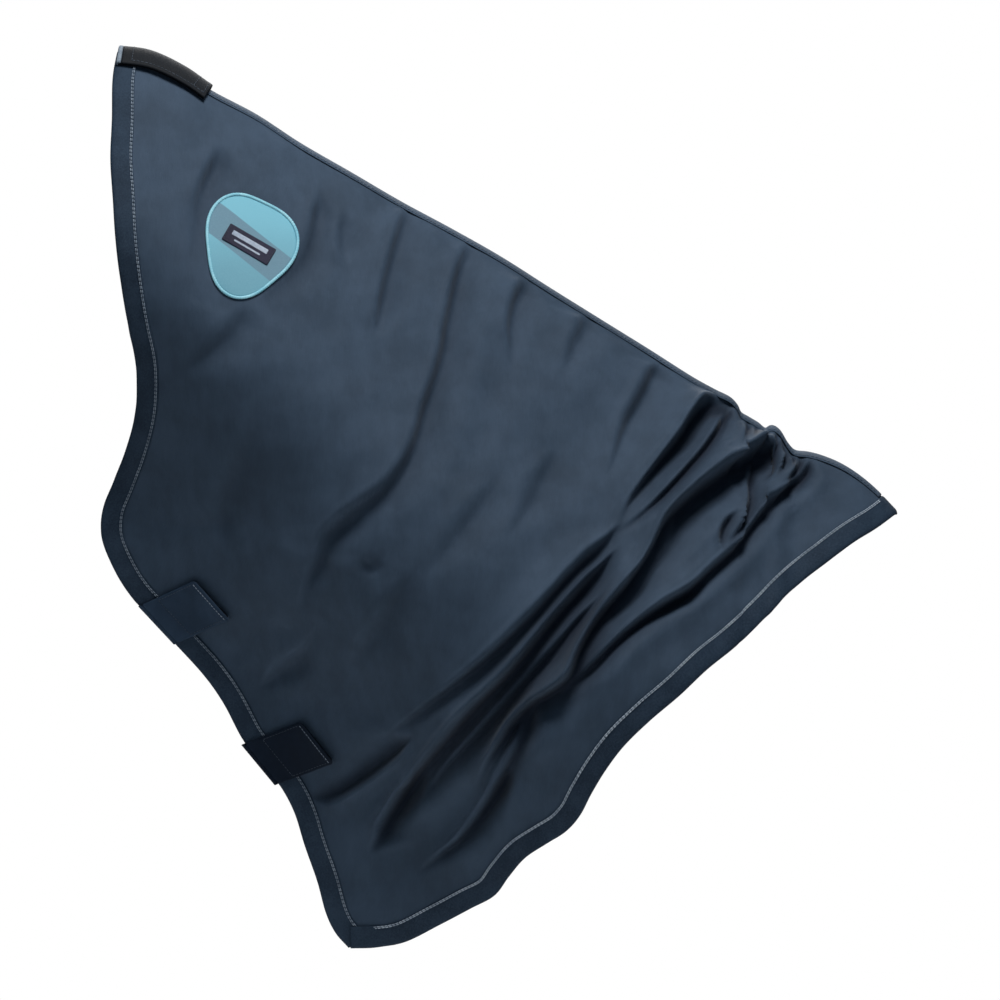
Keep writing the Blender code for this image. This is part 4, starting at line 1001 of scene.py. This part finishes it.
def make_poll_strap(finish):
    start, end = POLL_STRAP_START, POLL_STRAP_START + POLL_STRAP_LENGTH
    base_lift = 2.6 * MM
    flap_lift = base_lift + POLL_STRAP_THICKNESS + LAYER_GAP
    base = crest_slab("poll_strap_lower_layer", start, end, POLL_STRAP_HALF_WIDTH, base_lift,
                      POLL_STRAP_THICKNESS, finish["loops"], 60)
    settle(base, "cover", "touch_tape", "poll_strap_base")
    flap = crest_slab("poll_strap_upper_layer", start + TURN_TAIL + 0.2 * MM, end,
                      POLL_STRAP_HALF_WIDTH, flap_lift, POLL_STRAP_THICKNESS,
                      finish["webbing"], 90)
    settle(flap, "poll_flap", "webbing", "poll_strap_flap")

    # The turned end is half a ring of webbing, its tail under the upper layer
    turns = np.append(np.linspace(-pi / 2, pi / 2, 9), pi / 2)[:, None]
    tail = np.append(np.zeros(9), TURN_TAIL)[:, None]
    y = np.linspace(-1, 1, 25)[None] * POLL_STRAP_HALF_WIDTH
    middle = base_lift + POLL_STRAP_THICKNESS + LAYER_GAP / 2
    way = directions_at(CREST, np.array([start]), 8 * MM)[0]
    ahead = np.array([way[0], 0.0, way[1]])
    rest, up = over_crest(start, y, 0.0), seam_row(start, y, 1 * MM)[1]
    rings = [rest - ahead * (radius * np.cos(turns) - tail)[..., None]
             + up * (middle + radius * np.sin(turns))[..., None]
             for radius in (2.3 * MM, 0.5 * MM)]
    loop = slab("poll_strap_turned_end", *rings, finish["pale_end"])
    face_outwards(loop)
    settle(loop, "cover", "webbing")

    edge, sewn_lift = POLL_STRAP_HALF_WIDTH - 3 * MM, flap_lift + POLL_STRAP_THICKNESS
    along = np.linspace(start + 14 * MM, end - 3 * MM, 70)
    across = np.linspace(-edge, edge, 50)
    rows = [seam_row(along, side * edge, sewn_lift) for side in (NEAR, OFF)]
    rows += [seam_row(place, across, sewn_lift)
             for place in (start + 14 * MM, end - 4 * MM, end - 16 * MM)]
    stitching = sew("poll_strap_stitching", rows, finish["navy_thread"], thick=0.6 * MM)
    settle(stitching, "poll_flap", "webbing")


# ---------------------------------------------------------------- pads laid on the cloth

def pad(name, corner, across, down, lift, thick, material, side=NEAR, steps=(28, 28),
        corner_radius=0.0, round_margin=0.9 * MM, bow=None):
    """A patch laid on the cloth.  across and down are its sides in x and z."""
    a = np.linspace(-1, 1, steps[0] + 1)
    b = np.linspace(-1, 1, steps[1] + 1)
    a, b = (k + 0.12 * np.sin(pi * k) for k in (a, b))
    a, b = np.meshgrid(a, b, indexing="ij")
    wide, long = np.linalg.norm(across) / 2, np.linalg.norm(down) / 2
    gap_a, gap_b = (1 - np.abs(a)) * wide, (1 - np.abs(b)) * long
    margin = np.minimum(gap_a, gap_b) / round_margin
    if corner_radius:
        pull_a = np.clip(1 - gap_a / corner_radius, 0, 1)
        pull_b = np.clip(1 - gap_b / corner_radius, 0, 1)
        pull = np.hypot(pull_a, pull_b)
        over = np.where(pull > 1e-9, np.maximum(pull_a, pull_b) / np.maximum(pull, 1e-9), 1)
        a = np.sign(a) * (1 - np.where(pull_a > 0, (1 - pull_a * over) * corner_radius / wide,
                                       gap_a / wide))
        b = np.sign(b) * (1 - np.where(pull_b > 0, (1 - pull_b * over) * corner_radius / long,
                                       gap_b / long))
    places = corner + (a[..., None] + 1) / 2 * across + (b[..., None] + 1) / 2 * down
    full = round_margin_at(margin)
    raised = 0 if bow is None else bow(a, b)
    middle = lift + thick / 2 + raised
    top = on_cloth(places, middle + full * thick / 2, side)
    under = on_cloth(places, middle - full * thick / 2, side)
    return slab(name, top, under, material)


def pad_stitching(name, corner, across, down, lift, insets, material, side=NEAR, thick=0.6 * MM,
                  bow=None):
    """Rows of stitches on a patch: each inset is (start a, start b, end a, end b) in shares."""
    rows = []
    for a0, b0, a1, b1 in insets:
        t = np.linspace(0, 1, 40)[:, None]
        a, b = a0 + (a1 - a0) * t, b0 + (b1 - b0) * t
        places = corner + a * across + b * down
        raised = 0 if bow is None else bow(2 * a - 1, 2 * b - 1)[:, 0]
        rows.append((on_cloth(places, lift + raised, side), up_from(places, side)))
    return sew(name, rows, material, pitch=3.6 * MM, length=2.6 * MM, thick=thick)


def make_tab(place, share, cloth, finish):
    """A closure: a base sewn to the off side and turned round the edge, and a flap that touch
    tape holds on the near side."""
    fold, tangent, way = tab_frame(share)
    body = f"{place}_flap"
    corner, width = fold - tangent * TAB_WIDTH / 2, tangent * TAB_WIDTH
    hook_lift = BINDING_GAP + TOUCH_TAPE_THICKNESS + LAYER_GAP
    flap_lift = hook_lift + TOUCH_TAPE_THICKNESS + LAYER_GAP + 0.3 * MM
    joint = next(j for j in frame["joints"] if j["child"] == body)
    pivot = np.array(joint["pos_m"], float)
    beyond = (fold - pivot[[0, 2]]) @ way

    flap_length = TAB_REACH + beyond - TAB_FOLD_RADIUS
    flap_patch = corner + way * (TAB_FOLD_RADIUS - beyond), width, way * flap_length
    lift_end = lambda a, b: 2.0 * MM * smooth(0.74, 1.0, (b + 1) / 2) * (1 + 0.3 * a)
    flap = pad(f"{place}_tab_outer_flap", *flap_patch, flap_lift, TAB_THICKNESS, cloth,
               steps=(34, 44), corner_radius=4 * MM, bow=lift_end)
    settle(flap, body, "outer_cloth", f"{place}_tab_flap")
    edge, end = 0.055, 1 - 3.6 * MM / flap_length
    sewn = pad_stitching(f"{place}_tab_stitching", *flap_patch,
                         flap_lift + TAB_THICKNESS + 0.35 * MM,
                         [(edge, end, 1 - edge, end)], finish["thread"], thick=0.9 * MM,
                         bow=lift_end)
    settle(sewn, body, "outer_cloth")
    sides = pad_stitching(f"{place}_tab_side_stitching", *flap_patch,
                          flap_lift + TAB_THICKNESS,
                          [(edge, 0.3, edge, end - 0.05), (1 - edge, 0.3, 1 - edge, end - 0.05),
                           (edge, 0.3, 1 - edge, 0.3)], finish["navy_thread"],
                          bow=lift_end)
    settle(sides, body, "outer_cloth")

    tape_corner = (corner + way * (TAB_REACH - TOUCH_TAPE_LENGTH - TOUCH_TAPE_MARGIN)
                   + tangent * TOUCH_TAPE_MARGIN)
    tape_width = tangent * (TAB_WIDTH - 2 * TOUCH_TAPE_MARGIN)
    for kind, lift, rides, node in (("hook", hook_lift, body, "tab_hook_tape"),
                                    ("loop", BINDING_GAP, "cover", "loop_tape")):
        strip = pad(f"{place}_{kind}_strip", tape_corner, tape_width, way * TOUCH_TAPE_LENGTH,
                    lift, TOUCH_TAPE_THICKNESS, finish[kind + "s"], steps=(24, 20),
                    corner_radius=2 * MM, round_margin=0.4 * MM)
        settle(strip, rides, "touch_tape", f"{place}_{node}")

    base = tab_base(place, corner, width, way, pivot, beyond, cloth)
    settle(base, "cover", "outer_cloth", f"{place}_tab_base")
    off_corner = corner + way * TAB_SEWN_LENGTH
    off_down = -way * TAB_SEWN_LENGTH
    box = pad_stitching(f"{place}_tab_base_stitching", off_corner, width, off_down,
                        3.95 * MM, [(0.07, 0.06, 0.93, 0.06), (0.07, 0.06, 0.07, 0.42),
                                    (0.93, 0.06, 0.93, 0.42), (0.07, 0.42, 0.93, 0.42),
                                    (0.07, 0.06, 0.93, 0.42), (0.93, 0.06, 0.07, 0.42)],
                        finish["navy_thread"], OFF)
    settle(box, "cover", "outer_cloth")


def tab_base(place, corner, width, way, pivot, beyond, cloth):
    """The sewn half of a tab, from the off side round the edge to the flap's fold."""
    base_lift = 2 * BINDING_GAP + 0.8 * MM
    share = np.linspace(0, 1, 29)
    share = share + 0.06 * np.sin(2 * pi * (share - 0.5))
    ends = corner + share[:, None] * width

    def across_at(gone, y):
        flat = ends + way * gone
        return np.stack([flat[:, 0], np.broadcast_to(y, len(share)), flat[:, 1]], axis=-1)

    leaves, middle, half = 7 * MM, 1 * MM, TAB_THICKNESS / 2
    rows = [[on_cloth(ends + way * gone, lift, OFF) for lift in (base_lift,
                                                                 base_lift + TAB_THICKNESS)]
            for gone in np.linspace(TAB_SEWN_LENGTH, leaves, 20)]
    off_face = [level[:, 1] for level in rows[-1]]
    reaches = -(beyond - half), -(beyond + half)
    stop = pivot[1] + TAB_FOLD_RADIUS
    rows += [[across_at(leaves + (reach - leaves) * np.sin(turn),
                        (level - middle) * np.cos(turn) + middle)
              for level, reach in zip(off_face, reaches)]
             for turn in np.linspace(0, pi / 2, 7)[1:]]
    rows += [[across_at(reach, y) for reach in reaches] for y in np.linspace(middle, stop, 5)[1:]]
    rows += [[across_at(-beyond + TAB_FOLD_RADIUS - radius * cos(turn), stop - radius * sin(turn))
              for radius in (TAB_FOLD_RADIUS - half, TAB_FOLD_RADIUS + half)]
             for turn in np.linspace(0, pi / 2, 8)[1:]]
    under, top = (np.stack([row[k] for row in rows], axis=1) for k in (0, 1))
    piece = slab(f"{place}_tab_sewn_base", top, under, cloth)
    face_outwards(piece)
    return piece


# ---------------------------------------------------------------- badge

def badge_outline(turn, radius):
    return (np.stack([np.cos(turn) * 0.92, np.sin(turn) * 1.04], axis=-1)
            * (radius * (1 + BADGE_LOBE * np.cos(3 * (turn - BADGE_TURN))))[..., None])


def make_badge(finish):
    rings, around = 26, 96
    turn = np.linspace(0, 2 * pi, around, endpoint=False)
    share = np.linspace(0, 1, rings + 1)[1:]
    outline = badge_outline(turn, np.full(around, BADGE_RADIUS - 1.2 * MM))
    places = BADGE_CENTRE + share[:, None, None] * outline[None]
    top = on_cloth(places, 1.3 * MM + 0.5 * MM * (1 - share**2)[:, None], NEAR)
    under = on_cloth(places, 0.4 * MM, NEAR)
    middle_top = on_cloth(BADGE_CENTRE[None], 1.8 * MM, NEAR)
    middle_under = on_cloth(BADGE_CENTRE[None], 0.4 * MM, NEAR)
    count = rings * around
    vertices = np.vstack([top.reshape(-1, 3), under.reshape(-1, 3), middle_top, middle_under])
    faces = (grid_faces(rings, around, wrap=True).tolist()
             + grid_faces(rings, around, count, wrap=True)[:, ::-1].tolist())
    for k in range(around):
        ahead = (k + 1) % around
        faces += [[2 * count, ahead, k], [2 * count + 1, count + k, count + ahead],
                  [(rings - 1) * around + k, (rings - 1) * around + ahead,
                   count + (rings - 1) * around + ahead, count + (rings - 1) * around + k]]
    flat = (places - BADGE_CENTRE).reshape(-1, 2)
    uv = np.vstack([flat, flat, np.zeros((2, 2))])
    cloth = new_piece("badge_cloth", mesh_of("badge_cloth", vertices, faces, uv),
                      finish["badge"])
    face_outwards(cloth)
    settle(cloth, "cover", "badge_cloth", "badge")

    steps, sides = 720, 12
    turn = np.linspace(0, 2 * pi, steps, endpoint=False)
    edge = BADGE_CENTRE + badge_outline(turn, np.full(steps, BADGE_RADIUS - 0.4 * MM))
    spots, ups = on_cloth(edge, 1.55 * MM, NEAR), up_from(edge, NEAR)
    way = unit(np.roll(spots, -1, axis=0) - np.roll(spots, 1, axis=0))
    flank = unit(np.cross(way, ups))
    ring = np.linspace(0, 2 * pi, sides, endpoint=False)
    twist = 1 + 0.13 * np.sin(120 * turn[:, None] + ring[None])
    wide, tall = 1.75 * MM, 1.15 * MM
    sections = (spots[:, None]
                + (twist * np.cos(ring) * wide)[..., None] * flank[:, None]
                + (twist * np.sin(ring) * tall)[..., None] * ups[:, None])
    faces = grid_faces(steps, sides, wrap=True)
    last = (steps - 1) * sides
    k = np.arange(sides)
    closing = np.stack([last + k, last + (k + 1) % sides, (k + 1) % sides, k], axis=-1)
    rim = new_piece("badge_overlocked_rim",
                    mesh_of("badge_overlocked_rim", sections.reshape(-1, 3),
                            np.vstack([faces, closing])), finish["rim"])
    face_outwards(rim)
    settle(rim, "cover", "badge_cord", "badge_edge_cord")

    across = np.array([cos(LABEL_TURN), sin(LABEL_TURN)]) * LABEL_LENGTH
    down = np.array([sin(LABEL_TURN), -cos(LABEL_TURN)]) * LABEL_WIDTH
    corner = BADGE_CENTRE - (across + down) / 2
    label = pad("badge_woven_label", corner, across, down, 2.0 * MM, 0.6 * MM, finish["label"],
                steps=(44, 18), corner_radius=1.2 * MM, round_margin=0.4 * MM)
    settle(label, "cover", "label_weave", "badge_label")
    for number, (a0, a1, b0, b1) in enumerate([(0.12, 0.88, 0.24, 0.50),
                                               (0.22, 0.78, 0.66, 0.76)]):
        bar = pad(f"badge_label_bar_{number + 1}", corner + across * a0 + down * b0,
                  across * (a1 - a0), down * (b1 - b0), 2.52 * MM, 0.25 * MM,
                  finish["label_bar"], steps=(30, 8), corner_radius=0.5 * MM,
                  round_margin=0.2 * MM)
        settle(bar, "cover", "label_weave")
    edge_sewn = pad_stitching("badge_label_stitching", corner, across, down, 2.6 * MM,
                              [(0.025, 0.06, 0.025, 0.94), (0.975, 0.06, 0.975, 0.94)],
                              finish["navy_thread"], thick=0.45 * MM)
    settle(edge_sewn, "cover", "label_weave")


# ---------------------------------------------------------------- clips

def make_clips(finish):
    patch_lift = INNER_LEVEL - LAYER_GAP - PATCH_THICKNESS
    x, z = POLL + np.array(SIDE_CLIP_PLACE)
    for side, word in SIDES.items():
        corner = np.array([x - PATCH_WIDTH / 2, z])
        across, down = np.array([PATCH_WIDTH, 0.0]), np.array([0.0, PATCH_HEIGHT])
        patch = pad(f"{word}_clip_webbing_patch", corner, across, down, patch_lift,
                    PATCH_THICKNESS, finish["webbing"], side, (26, 22), 2 * MM, 0.5 * MM)
        settle(patch, "cover", "webbing", f"{word}_clip_patch")
        sewn = pad_stitching(f"{word}_clip_patch_stitching", corner, across, down,
                             patch_lift - 0.1 * MM,
                             [(0.1, 0.1, 0.9, 0.1), (0.9, 0.1, 0.9, 0.9), (0.9, 0.9, 0.1, 0.9),
                              (0.1, 0.9, 0.1, 0.1), (0.1, 0.1, 0.9, 0.9), (0.9, 0.1, 0.1, 0.9)],
                             finish["navy_thread"], side)
        settle(sewn, "cover", "webbing")
    place = ELASTIC_END * CREST_LENGTH + PATCH_TO_ELASTIC + PATCH_WIDTH / 2
    patch = crest_slab("withers_clip_webbing_patch", place - PATCH_WIDTH / 2,
                       place + PATCH_WIDTH / 2, ELASTIC_HALF_WIDTH, patch_lift,
                       PATCH_THICKNESS, finish["webbing"], 40)
    settle(patch, "cover", "webbing", "withers_clip_patch")
    for word in ("near", "off", "withers"):
        for part in ("clip_hook", "clip_gate", "clip_gate_pin"):
            repaint(f"{word}_{part}", finish["zinc"])
        repaint(f"{word}_clip_strap", finish["strap"])


def repaint(node, material):
    """Gives a node of the model a better finish."""
    for spot in frame["nodes"][node].material_slots:
        spot.material = material


# ---------------------------------------------------------------- studio

CAMERA_PLACE = (0.07875, -16.0, -0.305625)
VIEW_WIDTH = 1.05
FLOOR_RADIUS, FLOOR_LEVEL = 2.3, -1.02
BACKDROP, ROOM_LIGHT = ((1, 1, 1, 1), 1.0), ((0.50, 0.76, 1, 1), 0.11)
# Name, place, size, power and what it is aimed at
LIGHTS = [("soft_top_light", (0.2, -1.05, 2.0), 0.95, 67, (0.22, 0.0, -0.2)),
          ("front_fill_light", (-0.6, -4.0, 0.6), 2.0, 2, (0.05, 0.0, -0.3)),
          ("back_light", (0.3, 3.2, 2.2), 2.2, 80, (0.05, 0.0, -0.3))]


def make_studio():
    """Camera square to the near side from far off, pale floor and soft light from above."""
    scene, data = bpy.context.scene, bpy.data
    camera = data.objects.new("camera", data.cameras.new("camera"))
    scene.collection.objects.link(camera)
    camera.location = CAMERA_PLACE
    camera.rotation_euler = (pi / 2, 0, 0)
    camera.data.sensor_width = 36
    camera.data.lens = 36 * -CAMERA_PLACE[1] / VIEW_WIDTH
    camera.data.clip_end = 200
    scene.camera = camera

    rim = [(FLOOR_RADIUS * cos(t), FLOOR_RADIUS * sin(t), FLOOR_LEVEL)
           for t in np.linspace(0, 2 * pi, 96, endpoint=False)]
    pale, place, join = shade("Pale floor", {"Roughness": 0.9, "Specular IOR Level": 0.1})
    join(place.noise(3, 2).step(0.2, 0.8).blend((0.86, 0.86, 0.86, 1), (0.9, 0.9, 0.9, 1)))
    new_piece("studio_floor", mesh_of("studio_floor", np.array(rim),
                                               [list(range(96))]), pale)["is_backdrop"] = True

    for name, spot, size, power, aim in LIGHTS:
        lamp = data.objects.new(name, data.lights.new(name, "AREA"))
        scene.collection.objects.link(lamp)
        lamp.data.shape, lamp.data.size, lamp.data.energy = "DISK", size, power
        lamp.location = spot
        way = unit(np.array(aim) - np.array(spot))
        lamp.rotation_euler = (np.arccos(-way[2]), 0, np.arctan2(-way[0], way[1]))

    scene.world = data.worlds.new("studio")
    scene.world.use_nodes = True
    tree = scene.world.node_tree
    backdrop, room = tree.nodes["Background"], tree.nodes.new("ShaderNodeBackground")
    seen, choose = tree.nodes.new("ShaderNodeLightPath"), tree.nodes.new("ShaderNodeMixShader")
    for shader, (colour, strength) in ((backdrop, BACKDROP), (room, ROOM_LIGHT)):
        shader.inputs[0].default_value, shader.inputs[1].default_value = colour, strength
    for source, target in ((seen.outputs["Is Camera Ray"], choose.inputs[0]),
                           (room.outputs[0], choose.inputs[1]),
                           (backdrop.outputs[0], choose.inputs[2]),
                           (choose.outputs[0], tree.nodes["World Output"].inputs[0])):
        tree.links.new(source, target)
    scene.view_settings.view_transform = "Standard"


def declare_cloth(sides, bindings, crest):
    """Gathers the pieces laid on each side's cloth and does nothing more with them.  A side's flat
    size is the crest's length by the rear hem's, and its area the panel's own, smooth and without
    its folds."""
    for word, (outer, lining) in sides.items():
        on_it = bindings[word] + (crest if word == "near" else [])


def main():
    make_studio()
    finish = make_materials()
    sides = make_sides(finish)
    bindings = make_bindings(finish)
    crest = make_crest(finish)
    make_poll_strap(finish)
    for place, share in TAB_PLACES.items():
        make_tab(place, share, finish["tab" if place == "throat" else "dark_tab"], finish)
    make_badge(finish)
    make_clips(finish)
    declare_cloth(sides, bindings, crest)
    {"cad": cad_box, "visual": [list(corner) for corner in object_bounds()]}


main()
